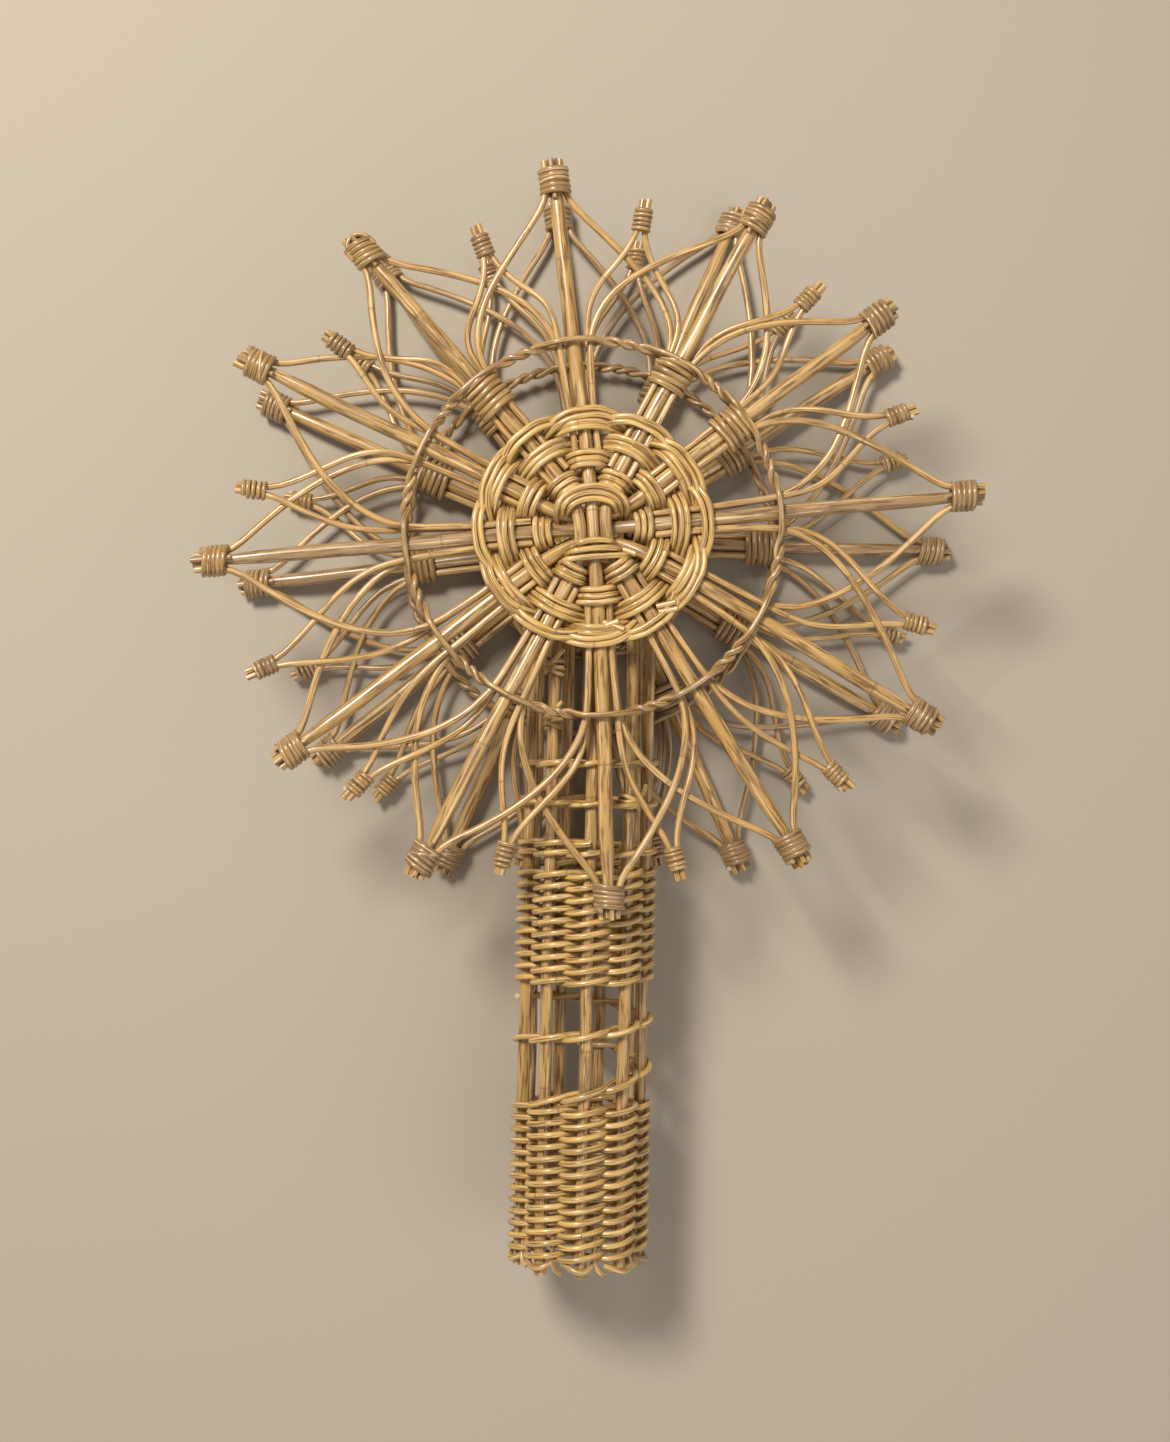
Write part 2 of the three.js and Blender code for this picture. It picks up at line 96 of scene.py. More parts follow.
# Loose cut ends on the front of the hub, from and to places in millimetres
HUB_STUBS = (
    ((28.5, -34.0), (36.5, -32.0)),
    ((29.5, -36.5), (37.5, -34.8)),
    ((5.5, -41.5), (14.5, -44.5)),
    ((4.0, -44.0), (12.0, -41.0)),
    ((13.5, -9.5), (19.0, -11.5)),
)

# Front rays with a paler tip binding, and the one whose binding ends in a loop over the cut ends
PALE_BINDINGS = (8, 9, 10, 11, 12, 1)
CAPPED = 11

# That loop, as shares of the binding's half width and millimetres towards the tip
CAP_LOOP = ((-1, 0.5), (-1, 4.5), (-0.55, 8.4), (0.3, 9.0), (0.95, 5.5), (1, 0.5))

# Rays whose bundle has a binding at the ring, and how many turns it has
FRONT_RING_BINDINGS = {11: 6, 1: 5, 2: 5}
BACK_RING_BINDINGS = {1: 5, 2: 5, 3: 5, 4: 6, 5: 5, 7: 5, 8: 6, 9: 5, 10: 5, 11: 6}

# Canes that follow each other in one strand of a woven band
BAND_CANES = 5

# Millimetres along the tube where the loose twist starts, and then passes the right and left sides
CLIMB = (-253.5, -237.5, -227.5, -217, -208)

# Loose rows above the upper band: turns, and how far above the band they start and end, in millimetres
TOP_ROWS = ((1.25, 2.5, 8), (1.0, 24.5, 27.5), (0.5, 42, 44.5))

# Ties above the upper band: the stake, the place along the tube in millimetres, and the turns
TIES = ((8, -60, 1.8), (8, -83, 1.8), (1, -119, 2.2))

# Lights: name, place and side in metres, power in watts, and colour
LIGHTS = (
    ("key", (-0.6, 0.75, 1.35), 0.4, 30.0, (1.0, 0.94, 0.84)),
    ("fill", (1.2, -0.6, 1.3), 1.4, 8.0, (1.0, 0.97, 0.93)),
    ("rim", (0.1, -1.4, 0.8), 0.8, 4.0, (1.0, 0.95, 0.88)),
)
SKY_COLOUR = (1.0, 0.95, 0.88, 1.0)
SKY_STRENGTH = 0.28
FLOOR_SIDE = 80.0

# Camera above the topper: place in metres, lens in millimetres, and tilt from straight down in degrees
CAMERA_PLACE = (-0.01397, -0.02771, 0.82068)
CAMERA_LENS = 42.44
CAMERA_TILT = (1.73, -0.99, 1.42)


# Kinds of values that a user may change


def size(name, description, millimetres):
    return bpy.props.FloatProperty(
        name=name,
        description=description,
        default=millimetres * MM,
        min=0.0,
        unit="LENGTH",
        subtype="DISTANCE",
        precision=5,
    )


def place(name, description, millimetres):
    return bpy.props.FloatProperty(
        name=name,
        description=description,
        default=millimetres * MM,
        unit="LENGTH",
        precision=5,
    )


def turn(name, description, degrees):
    return bpy.props.FloatProperty(
        name=name,
        description=description,
        default=math.radians(degrees),
        unit="ROTATION",
        subtype="ANGLE",
    )


def share(name, description, value):
    return bpy.props.FloatProperty(name=name, description=description, default=value)


def count(name, description, value):
    return bpy.props.IntProperty(name=name, description=description, default=value, min=1)


def tone(name, description, value):
    return bpy.props.FloatVectorProperty(
        name=name,
        description=description,
        default=value,
        size=3,
        min=0.0,
        max=1.0,
        subtype="COLOR",
    )


class TopperSizes(bpy.types.PropertyGroup):
    """Sizes of the topper"""

    hub_x: place("Hub X", "Sideways place of the hub centre", -0.0722)
    hub_y: place("Hub Y", "Lengthways place of the hub centre", 79.2872)
    axis_z: place("Tube height", "Height of the tube's axis above the floor", 45.7775)
    spoke: size("Spoke", "Diameter of a through spoke", 6.4)
    spoke_tip: size("Spoke tip", "Diameter of a spoke inside its tip binding", 4.8)
    taper_start: size("Taper start", "Distance from its end at which a spoke starts to thin out", 34)
    taper: size("Taper", "Length over which a spoke thins out", 20)
    rod: size("Rod", "Diameter of a thin petal rod", 3.1)
    side_rod: size("Side rod", "Diameter of a rod that runs to a side tip", 2.8)
    stake: size("Stake", "Diameter of a tube stake", 5.5)
    tube_weaver: size("Tube weaver", "Diameter of the strands of the tube", 2.7)
    hub_weaver: size("Hub weaver", "Diameter of the strands of the hub", 2.7)
    ring_strand: size("Ring strand", "Diameter of each of the two ring strands", 2.6)
    ring_binder: size("Ring binder", "Diameter of the cane that binds a ray beside the ring", 2.9)
    binder: size("Binder", "Diameter of the cane that binds a main tip", 2.5)
    side_binder: size("Side binder", "Diameter of the cane that binds a side tip", 2.1)
    star_turn: turn("Star turn", "Turn of both stars, counter-clockwise", 5.8)
    star_plane: size("Star plane", "Height of the hub's spokes above the tube's axis", 33.07)
    rise: share("Rise", "Height that a ray gains for each length outwards", 0.0364)
    cross_lift: size("Cross lift", "Half the step between crossing spokes", 3.2)
    spacing: size("Spoke spacing", "Distance between neighbouring spokes at the crossing", 5.6)
    spoke_waist: size("Spoke waist", "Diameter of a spoke at the crossing", 5.5)
    waist_taper: size("Waist taper", "Length over which a spoke thickens outside the crossing", 12)
    cross_radius: size("Crossing radius", "Radius at which the spokes reach the crossing", 13.5)
    border_radius: size("Border radius", "Radius of the braided border of the hub", 51)
    level_radius: size("Level radius", "Radius at which all the spokes lie level", 32)
    rod_start: size("Rod start", "Radius at which the thin rods start inside the hub", 27)
    bow_leave: size("Bow leave", "Radius at which a rod bends away from its spoke", 80)
    rod_spread: size("Rod spread", "How far an unbound rod drifts from its spoke up to the ring", 1.8)
    rod_inside: size("Rod in a binding", "Distance of a rod from its spoke inside a tip binding", 3.3)
    bow_layer: size("Bow layer", "How far a bow lies above or below its spoke's middle", 1.25)
    bow_pull: size("Bow pull", "Stiffness of a bow where it leaves its spoke", 30)
    bow_turn: turn("Bow turn", "Angle between a bow and the spoke that it leaves", 11)
    bow_arrival: size("Bow arrival pull", "Stiffness of a bow where it reaches a tip", 30)
    bow_angle: turn("Bow angle", "Angle between a bow and the spoke that it reaches", 39)
    side_pull: size("Side pull", "Stiffness of a side rod where it leaves its spoke", 30)
    side_arrival: size("Side arrival pull", "Stiffness of a side rod where it reaches its tip", 26)
    side_angle: turn("Side angle", "Angle between a side rod and its tip", 18)
    side_spread: size("Side spread", "Distance of a side rod from the middle of its tip", 1.3)
    cut_end: size("Cut end", "Length of cane past a binding", 3.2)
    binding: size("Binding", "Length of a main tip binding", 13)
    binding_wide: size("Binding half width", "Half width of a main tip binding along its cane", 5.8)
    binding_high: size("Binding half height", "Half height of a main tip binding along its cane", 5.4)
    tail: size("Tail", "Diameter of the binding cane's ends in a main tip", 2.4)
    tail_height: size("Tail height", "Distance of those ends from the middle of the tip", 3.5)
    side_binding: size("Side binding", "Length of a side tip binding", 12)
    side_binding_wide: size("Side binding half width", "Half width of a side tip binding", 3.3)
    side_binding_high: size("Side binding half height", "Half height of a side tip binding", 2.75)
    front_ring: size("Front ring", "Radius of the front ring", 82)
    back_ring: size("Back ring", "Radius of the back ring", 88)
    tube_shift: place("Tube shift", "Sideways place of the tube's axis from the hub", 1.5)
    stake_circle: size("Stake circle", "Radius of the circle of stakes", 26.7)
    stake_turn: turn("Stake turn", "Turn of the first stake from the front", 2)
    stakes: count("Stakes", "How many stakes the tube has", 9)
    stake_top: place("Stake top", "Upper end of the stake under the lowest ray", -54)
    stake_tuck: size("Stake tuck", "How much further the other stakes reach under the hub", 12)
    stake_foot: place("Stake foot", "Lower end of the stakes", -327.5)
    upper_top: place("Upper band top", "Top of the upper woven band", -146)
    upper_foot: place("Upper band foot", "Foot of the upper woven band", -204)
    lower_top: place("Lower band top", "Top of the lower woven band", -252)
    lower_foot: place("Lower band foot", "Foot of the lower woven band", -326)
    rim: size("Rim", "Height of the bent ends below the lower band's rows", 2.4)
    row_pitch: size("Row pitch", "Distance between rows of the woven bands", 5.2)
    row_slant: size("Row slant", "Rise of a strand on each side of a stake", 1.1)


class TopperColours(bpy.types.PropertyGroup):
    """Colours of the topper"""

    honey: tone("Honey cane", "Main colour of the spokes and stakes", (0.47, 0.28, 0.09))
    pale: tone("Pale cane", "Main colour of the thin rods", (0.53, 0.32, 0.11))
    golden: tone("Golden cane", "Main colour of the weave", (0.63, 0.4, 0.13))
    brown: tone("Brown cane", "Main colour of the rings and bindings", (0.4, 0.24, 0.085))
    # Grey also serves as painted shade on the back star's rods
    grey: tone("Grey cane", "Colour of weathered patches and odd canes", (0.29, 0.18, 0.095))
    streak: tone("Streak", "Colour of the fine dark grain", (0.13, 0.055, 0.015))
    # Pale grain, strong enough that it also serves as painted highlight streaks along the canes
    shine: tone("Pale streak and painted highlight", "Colour of the fine pale grain", (0.82, 0.62, 0.34))
    pith: tone("Pith", "Colour of a cut end", (0.62, 0.46, 0.27))
    floor: tone("Floor", "Colour of the floor", (0.41, 0.36, 0.295))


# Directions and paths in the plane of a star and in space


def polar(radius, angle):
    return np.array((radius * math.cos(angle), radius * math.sin(angle)))


def turned(direction, angle):
    c, s = math.cos(angle), math.sin(angle)
    return np.array((c * direction[0] - s * direction[1], s * direction[0] + c * direction[1]))


def clockwise_of(direction):
    return np.array((direction[1], -direction[0]))


def smoothstep(x):
    x = np.clip(x, 0.0, 1.0)
    return x * x * (3 - 2 * x)


def lengths_along(points):
    """Length of a path up to each of its points."""
    return np.concatenate(([0.0], np.cumsum(np.linalg.norm(np.diff(points, axis=0), axis=1))))


def resampled(points, step):
    """The same path with a point every step, open ends kept."""
    points = np.asarray(points, float)
    lengths = lengths_along(points)
    wanted = np.linspace(0.0, lengths[-1], max(2, round(lengths[-1] / step) + 1))
    return np.stack([np.interp(wanted, lengths, points[:, k]) for k in range(3)], axis=1)


def relaxed(points, rounds):
    """Rounds off the corners of an open path."""
    points = np.array(points, float)
    for _ in range(rounds):
        points[1:-1] = 0.5 * points[1:-1] + 0.25 * (points[:-2] + points[2:])
    return points


def bezier(a, b, c, d, steps):
    """A curve from a to d that leaves towards b and arrives from c."""
    t = np.linspace(0.0, 1.0, steps + 1)[:, None]
    return (1 - t) ** 3 * a + 3 * (1 - t) ** 2 * t * b + 3 * (1 - t) * t**2 * c + t**3 * d


class Star:
    """One of the two stars: the side it faces, its rays and its side tips."""

    def __init__(self, name, sizes):
        front = name == "front"
        self.name = name
        self.sizes = sizes
        self.face = 1 if front else -1
        self.reach = FRONT_REACH if front else BACK_REACH
        self.lean = FRONT_LEAN if front else BACK_LEAN
        self.side_reach = FRONT_SIDE_REACH if front else BACK_SIDE_REACH
        self.side_lean = FRONT_SIDE_LEAN if front else BACK_SIDE_LEAN
        self.ring_radius = sizes.front_ring if front else sizes.back_ring
        self.ring_bindings = FRONT_RING_BINDINGS if front else BACK_RING_BINDINGS

    def clock(self, hour):
        """Angle of a clock hour on the turned star."""
        return math.radians(90 - 30 * hour) + self.sizes.star_turn

    def height(self, radius, hour=None, lift=0.0):
        """Height of a spoke's middle above the tube's axis; upright spokes cross over level ones."""
        s = self.sizes
        layer = 0.0
        if hour is not None:
            inner = s.cross_radius
            fade = min(max((s.level_radius - radius) / (s.level_radius - inner), 0.0), 1.0)
            layer = fade * (s.cross_lift if hour in UPRIGHT else -s.cross_lift)
        return s.star_plane + s.rise * radius + layer + lift

    def point(self, flat, height):
        """A place in space, its height counted towards the side that the star faces."""
        return np.array((flat[0], flat[1], self.face * height))

    def ray(self, hour):
        """Start, direction and reach of a ray, seen flat."""
        i = hour - 1
        base = polar(self.sizes.level_radius, self.clock(hour))
        end = polar(self.reach[i] * MM, self.clock(hour) - math.radians(self.lean[i]))
        along = (end - base) / np.linalg.norm(end - base)
        reach = self.sizes.level_radius + np.linalg.norm(end - base)
        return {"hour": hour, "base": base, "along": along, "side": clockwise_of(along), "reach": reach}

    def on_ray(self, ray, radius, offset=0.0):
        """A flat place along a ray, or beside it."""
        return ray["base"] + ray["along"] * (radius - self.sizes.level_radius) + ray["side"] * offset

    def at(self, ray, radius, offset=0.0, lift=0.0):
        """The same place at the height of the ray's middle, or above it."""
        return self.point(self.on_ray(ray, radius, offset), self.height(radius, ray["hour"], lift))

    def side_tip(self, hour):
        """Direction and reach of the side tip after an hour."""
        i = hour - 1
        outward = polar(1.0, self.clock(hour + 0.5) - math.radians(self.side_lean[i]))
        return outward, self.side_reach[i] * MM


class Canes:
    """Closed round canes gathered into one mesh, with their length as UV and a tint for each cane."""

    def __init__(self, seed):
        self.random = np.random.default_rng(seed)
        self.points = []
        self.faces = []
        self.uvs = []
        self.tones = []

    def wander(self, path, amount, wave):
        """Bends a path by a smooth chance amount along waves of a length, as grown cane bends."""
        path = np.array(path, float)
        lengths = lengths_along(path)
        for axis in range(3):
            for part in (1.0, 2.3):
                phase = self.random.uniform(0, 2 * math.pi)
                path[:, axis] += amount / part * np.sin(2 * math.pi * part * lengths / wave + phase)
        return path

    def add(self, path, diameter, sides=8, closed=False, tint=None):
        """Sweeps a round cane along a path; its tint runs from 0, as the material, to 1, weathered, and
        on the back star's rods it also carries painted shade.
        """
        path = np.asarray(path, float)
        n = len(path)
        if closed:
            tangents = np.roll(path, -1, axis=0) - np.roll(path, 1, axis=0)
        else:
            tangents = np.gradient(path, axis=0)
        tangents /= np.linalg.norm(tangents, axis=1)[:, None]
        across = self.transported(tangents, closed)
        rise = np.cross(tangents, across)
        if np.isscalar(diameter):
            diameter = np.full(n, diameter)
        angles = 2 * math.pi * np.arange(sides) / sides
        ring_a = np.cos(angles)[None, :, None]
        ring_b = np.sin(angles)[None, :, None]
        radius = (np.asarray(diameter) / 2)[:, None, None]
        shell = path[:, None, :] + radius * (ring_a * across[:, None, :] + ring_b * rise[:, None, :])
        start = sum(len(p) for p in self.points)
        self.points.append(shell.reshape(-1, 3))
        lengths = lengths_along(np.vstack((path, path[:1])))
        own = self.random.uniform(0, 1) if tint is None else tint
        shift = self.random.uniform(0, 1)
        spans = n if closed else n - 1
        for i in range(spans):
            here = start + i * sides
            after = start + ((i + 1) % n) * sides
            for j in range(sides):
                k = (j + 1) % sides
                self.faces.append((here + j, here + k, after + k, after + j))
                near, far = lengths[i], lengths[i + 1]
                low, high = j / sides, (j + 1) / sides
                self.uvs.extend(((near, low), (near, high), (far, high), (far, low)))
                self.tones.extend([(own, 0.0, shift, 1.0)] * 4)
        if not closed:
            last = start + (n - 1) * sides
            self.faces.append(tuple(start + j for j in reversed(range(sides))))
            self.faces.append(tuple(last + j for j in range(sides)))
            disc = [(0.5 + 0.5 * math.cos(a), 0.5 + 0.5 * math.sin(a)) for a in angles]
            self.uvs.extend(disc[::-1] + disc)
            self.tones.extend([(own, 1.0, shift, 1.0)] * (2 * sides))

    @staticmethod
    def transported(tangents, closed):
        """Directions across the path that turn as little as they can along it."""
        first = tangents[0]
        seed = np.array((0.0, 0.0, 1.0)) if abs(first[2]) < 0.9 else np.array((1.0, 0.0, 0.0))
        current = np.cross(seed, first)
        current /= np.linalg.norm(current)
        across = []
        for t in tangents:
            current = current - t * np.dot(current, t)
            current = current / np.linalg.norm(current)
            across.append(current)
        across = np.array(across)
        if closed:
            end = across[-1] - first * np.dot(across[-1], first)
            end /= np.linalg.norm(end)
            gap = math.atan2(np.dot(np.cross(end, across[0]), first), np.dot(end, across[0]))
            angles = gap * np.arange(len(across)) / len(across)
            rise = np.cross(tangents, across)
            across = across * np.cos(angles)[:, None] + rise * np.sin(angles)[:, None]
        return across

    def build(self, name, material, nodes, sizes):
        """Makes the object, places it in the frame, attaches it to the root body and hides the solids it
        stands for.
        """
        shift = np.array((sizes.hub_x, sizes.hub_y, sizes.axis_z))
        mesh = bpy.data.meshes.new(name)
        mesh.from_pydata((np.vstack(self.points) + shift).tolist(), [], self.faces)
        layer = mesh.uv_layers.new(name="cane")
        layer.data.foreach_set("uv", np.array(self.uvs, np.float32).ravel())
        tones = mesh.color_attributes.new(name="tone", type="FLOAT_COLOR", domain="CORNER")
        tones.data.foreach_set("color", np.array(self.tones, np.float32).ravel())
        mesh.materials.append(material)
        mesh.validate()
        piece = bpy.data.objects.new(name, mesh)
        bpy.context.collection.objects.link(piece)
        bpy.ops.object.select_all(action="DESELECT")
        piece.select_set(True)
        bpy.context.view_layer.objects.active = piece
        bpy.ops.object.shade_smooth_by_angle(angle=math.radians(75))
        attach(piece, "root")
        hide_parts(*nodes)
        return piece


def coil(centre, along, across, wide, high, length, turns, lean=0.0, steps=14):
    """A winding round a bundle: half sizes wide and high, its turns packed along its length."""
    rise = np.cross(across, along)
    total = round(turns * steps)
    path = []
    for i in range(total + 1):
        angle = 2 * math.pi * i / steps
        travel = (i / total - 0.5) * length + lean * math.cos(angle)
        out = across * wide * math.cos(angle) + rise * high * math.sin(angle)
        path.append(centre + along * travel + out)
    return np.array(path)


def node(tree, kind, label, **values):
    made = tree.nodes.new(kind)
    made.label = label
    for key, value in values.items():
        setattr(made, key, value)
    return made


def cane_grain():
    """Shared node group: colour, roughness and bump height of cane from its own length and tone."""
    group = bpy.data.node_groups.get("cane_grain")
    if group:
        return group
    group = bpy.data.node_groups.new("cane_grain", "ShaderNodeTree")
    new_socket = group.interface.new_socket
    new_socket(name="Vector", in_out="INPUT", socket_type="NodeSocketVector")
    for name in ("Tone", "Base", "Odd", "Streak", "Shine", "Pith"):
        new_socket(name=name, in_out="INPUT", socket_type="NodeSocketColor")
    new_socket(name="Colour", in_out="OUTPUT", socket_type="NodeSocketColor")
    new_socket(name="Roughness", in_out="OUTPUT", socket_type="NodeSocketFloat")
    new_socket(name="Height", in_out="OUTPUT", socket_type="NodeSocketFloat")
    link = group.links.new
    source = node(group, "NodeGroupInput", "Inputs")
    result = node(group, "NodeGroupOutput", "Outputs")
    tones = node(group, "ShaderNodeSeparateColor", "Tone parts")
    link(source.outputs["Tone"], tones.inputs["Color"])

    # Each cane has its own stretch of grain, taken from a long run of it
    run = 9.0
    parts = node(group, "ShaderNodeSeparateXYZ", "Length and round")
    link(source.outputs["Vector"], parts.inputs["Vector"])
    moved = node(group, "ShaderNodeMath", "Own stretch", operation="MULTIPLY_ADD")
    moved.inputs[1].default_value = run
    link(tones.outputs["Blue"], moved.inputs[0])
    link(parts.outputs["X"], moved.inputs[2])
    around = node(group, "ShaderNodeMath", "Round angle", operation="MULTIPLY")
    around.inputs[1].default_value = 2 * math.pi
    link(parts.outputs["Y"], around.inputs[0])
    cosine = node(group, "ShaderNodeMath", "Round cosine", operation="COSINE")
    sine = node(group, "ShaderNodeMath", "Round sine", operation="SINE")
    link(around.outputs[0], cosine.inputs[0])
    link(around.outputs[0], sine.inputs[0])
    grain = node(group, "ShaderNodeCombineXYZ", "Grain place")
    link(moved.outputs[0], grain.inputs["X"])
    link(cosine.outputs[0], grain.inputs["Y"])
    link(sine.outputs[0], grain.inputs["Z"])

    # Fine fibres, broad streaks and cloudy patches
    def noise(label, stretch, detail):
        scaled = node(group, "ShaderNodeMapping", label + " stretch")
        scaled.inputs["Scale"].default_value = stretch
        link(grain.outputs["Vector"], scaled.inputs["Vector"])
        made = node(group, "ShaderNodeTexNoise", label)
        made.inputs["Scale"].default_value = 1.0
        made.inputs["Detail"].default_value = detail
        link(scaled.outputs["Vector"], made.inputs["Vector"])
        return made.outputs["Fac"]

    fibres = noise("Fibres", (75.0, 2.5, 2.5), 4.0)
    streaks = noise("Streaks", (16.0, 2.4, 2.4), 2.0)
    clouds = noise("Clouds", (24.0, 0.5, 0.5), 2.0)

    def ramp(label, value, low, high):
        made = node(group, "ShaderNodeMapRange", label, interpolation_type="SMOOTHSTEP")
        made.inputs["From Min"].default_value = low
        made.inputs["From Max"].default_value = high
        link(value, made.inputs["Value"])
        return made.outputs["Result"]

    def blended(label, factor, strength, first, second):
        scaled = node(group, "ShaderNodeMath", label + " strength", operation="MULTIPLY")
        scaled.inputs[1].default_value = strength
        link(factor, scaled.inputs[0])
        made = node(group, "ShaderNodeMix", label, data_type="RGBA")
        link(scaled.outputs[0], made.inputs["Factor"])
        link(first, made.inputs["A"])
        link(second, made.inputs["B"])
        return made.outputs["Result"]

    sockets = source.outputs
    # Canes with a high tint turn grey; on the back star's rods this grey is painted shade
    odd = ramp("Odd canes", tones.outputs["Red"], 0.55, 1.0)
    colour = blended("Own tone", odd, 0.75, sockets["Base"], sockets["Odd"])
    patches = ramp("Patches", clouds, 0.5, 0.75)
    colour = blended("Cloudy patches", patches, 0.5, colour, sockets["Odd"])
    # Pale streaks along the cane: real pale grain, made strong enough to serve as painted highlight
    # streaks as well
    pale = ramp("Pale fibres and painted highlight", streaks, 0.47, 0.32)
    colour = blended("Pale grain and painted highlight", pale, 0.7, colour, sockets["Shine"])
    dark = ramp("Dark fibres", fibres, 0.48, 0.63)
    colour = blended("Dark grain", dark, 0.78, colour, sockets["Streak"])

    # Growth joints are thin dark rings far apart along a cane
    joints_a_metre = 9.0
    joints = node(group, "ShaderNodeMath", "Joint repeat", operation="FRACT")
    spread = node(group, "ShaderNodeMath", "Joint spacing", operation="MULTIPLY")
    spread.inputs[1].default_value = joints_a_metre
    link(moved.outputs[0], spread.inputs[0])
    link(spread.outputs[0], joints.inputs[0])
    joint = ramp("Joint mark", joints.outputs[0], 0.985, 1.0)
    colour = blended("Growth joints", joint, 0.5, colour, sockets["Streak"])
    pores = ramp("Cut pores", fibres, 0.45, 0.7)
    cut = blended("Cut grain", pores, 0.6, sockets["Pith"], sockets["Streak"])
    final = node(group, "ShaderNodeMix", "Cut ends", data_type="RGBA")
    link(tones.outputs["Green"], final.inputs["Factor"])
    link(colour, final.inputs["A"])
    link(cut, final.inputs["B"])
    link(final.outputs["Result"], result.inputs["Colour"])

    rough = node(group, "ShaderNodeMapRange", "Varnish wear")
    rough.inputs["To Min"].default_value = 0.3
    rough.inputs["To Max"].default_value = 0.46
    link(clouds, rough.inputs["Value"])
    link(rough.outputs["Result"], result.inputs["Roughness"])
    height = node(group, "ShaderNodeMath", "Grain height", operation="SUBTRACT")
    link(streaks, height.inputs[0])
    link(fibres, height.inputs[1])
    link(height.outputs[0], result.inputs["Height"])
    return group


def cane_material(name, base):
    """Varnished cane in one base colour."""
    material = bpy.data.materials.get(name)
    if material:
        return material
    colours = bpy.context.scene.topper_colours
    material = bpy.data.materials.new(name)
    material.use_nodes = True
    tree = material.node_tree
    tree.nodes.clear()
    link = tree.links.new
    uv = node(tree, "ShaderNodeUVMap", "Cane length", uv_map="cane")
    tones = node(tree, "ShaderNodeAttribute", "Cane tone", attribute_name="tone")
    grain = node(tree, "ShaderNodeGroup", "Cane grain", node_tree=cane_grain())
    shader = node(tree, "ShaderNodeBsdfPrincipled", "Varnished cane")
    bump = node(tree, "ShaderNodeBump", "Grain relief")
    output = node(tree, "ShaderNodeOutputMaterial", "Surface")
    grain.inputs["Base"].default_value = (*base, 1.0)
    grain.inputs["Odd"].default_value = (*colours.grey, 1.0)
    grain.inputs["Streak"].default_value = (*colours.streak, 1.0)
    grain.inputs["Shine"].default_value = (*colours.shine, 1.0)
    grain.inputs["Pith"].default_value = (*colours.pith, 1.0)
    bump.inputs["Strength"].default_value = 0.35
    bump.inputs["Distance"].default_value = 0.4 * MM
    shader.inputs["Coat Weight"].default_value = 0.75
    shader.inputs["Coat Roughness"].default_value = 0.2
    link(uv.outputs["UV"], grain.inputs["Vector"])
    link(tones.outputs["Color"], grain.inputs["Tone"])
    link(grain.outputs["Colour"], shader.inputs["Base Color"])
    link(grain.outputs["Roughness"], shader.inputs["Roughness"])
    link(grain.outputs["Height"], bump.inputs["Height"])
    link(bump.outputs["Normal"], shader.inputs["Normal"])
    link(shader.outputs["BSDF"], output.inputs["Surface"])
    return material


def stars():
    """The front star and the back star, with the sizes that are set."""
    sizes = bpy.context.scene.topper_sizes
    return [Star("front", sizes), Star("back", sizes)]


def spoke_nodes(star):
    """Names of the solids that a star's spokes and tip bindings stand for."""
    return [f"{star.name}_spoke_{a}_{b}" for a, b in SPOKES]


def petal_nodes(star):
    """Names of the solids that a star's rods and side bindings stand for."""
    return [f"{star.name}_petal_{hour:02d}" for hour in HOURS]


class TOPPER_OT_spokes(bpy.types.Operator):
    """Adds the six through spokes of each star"""

    bl_idname = "topper.spokes"
    bl_label = "Spokes"

    def execute(self, context):
        s = context.scene.topper_sizes
        material = cane_material("honey_cane", context.scene.topper_colours.honey)
        for star in stars():
            canes = Canes(seed=11 + star.face)
            for first, second in SPOKES:
                path, diameter = self.spoke(canes, star, first, second, s)
                canes.add(path, diameter, sides=12, tint=SPOKE_TINTS.get(first, COMMON_TINT))
            canes.build(f"{star.name}_spokes", material, spoke_nodes(star), s)
        return {"FINISHED"}

    @staticmethod
    def crossing(star, hour, s):
        """Where the spoke enters the crossing, beside its neighbours of the same group."""
        middle = 3 * (round(hour / 3) % 4) or 12
        beside = (hour - middle + 6) % 12 - 6
        forward = polar(1.0, star.clock(middle))
        flat = forward * s.cross_radius * 0.8 + clockwise_of(forward) * beside * s.spacing
        return star.point(flat, star.height(s.cross_radius, hour))

    def spoke(self, canes, star, first, second, s):
        """Path and diameters of a spoke from one ray through the crossing to the opposite ray."""
        ends = []
        for hour in (first, second):
            ray = star.ray(hour)
            tip = star.at(ray, ray["reach"] - 1.2 * MM * canes.random.uniform(0, 1))
            ends.append([tip, star.at(ray, s.level_radius), self.crossing(star, hour, s)])
        path = relaxed(resampled(ends[0] + ends[1][::-1], 3 * MM), 10)
        path = canes.wander(path, 0.25 * MM, wave=120 * MM)
        reach = np.linalg.norm(path[:, :2], axis=1)
        near_tip = smoothstep((reach - (np.max(reach) - s.taper_start)) / s.taper)
        near_centre = 1 - smoothstep((reach - s.cross_radius) / s.waist_taper)
        thinner = (s.spoke_tip - s.spoke) * near_tip + (s.spoke_waist - s.spoke) * near_centre
        return path, s.spoke + thinner


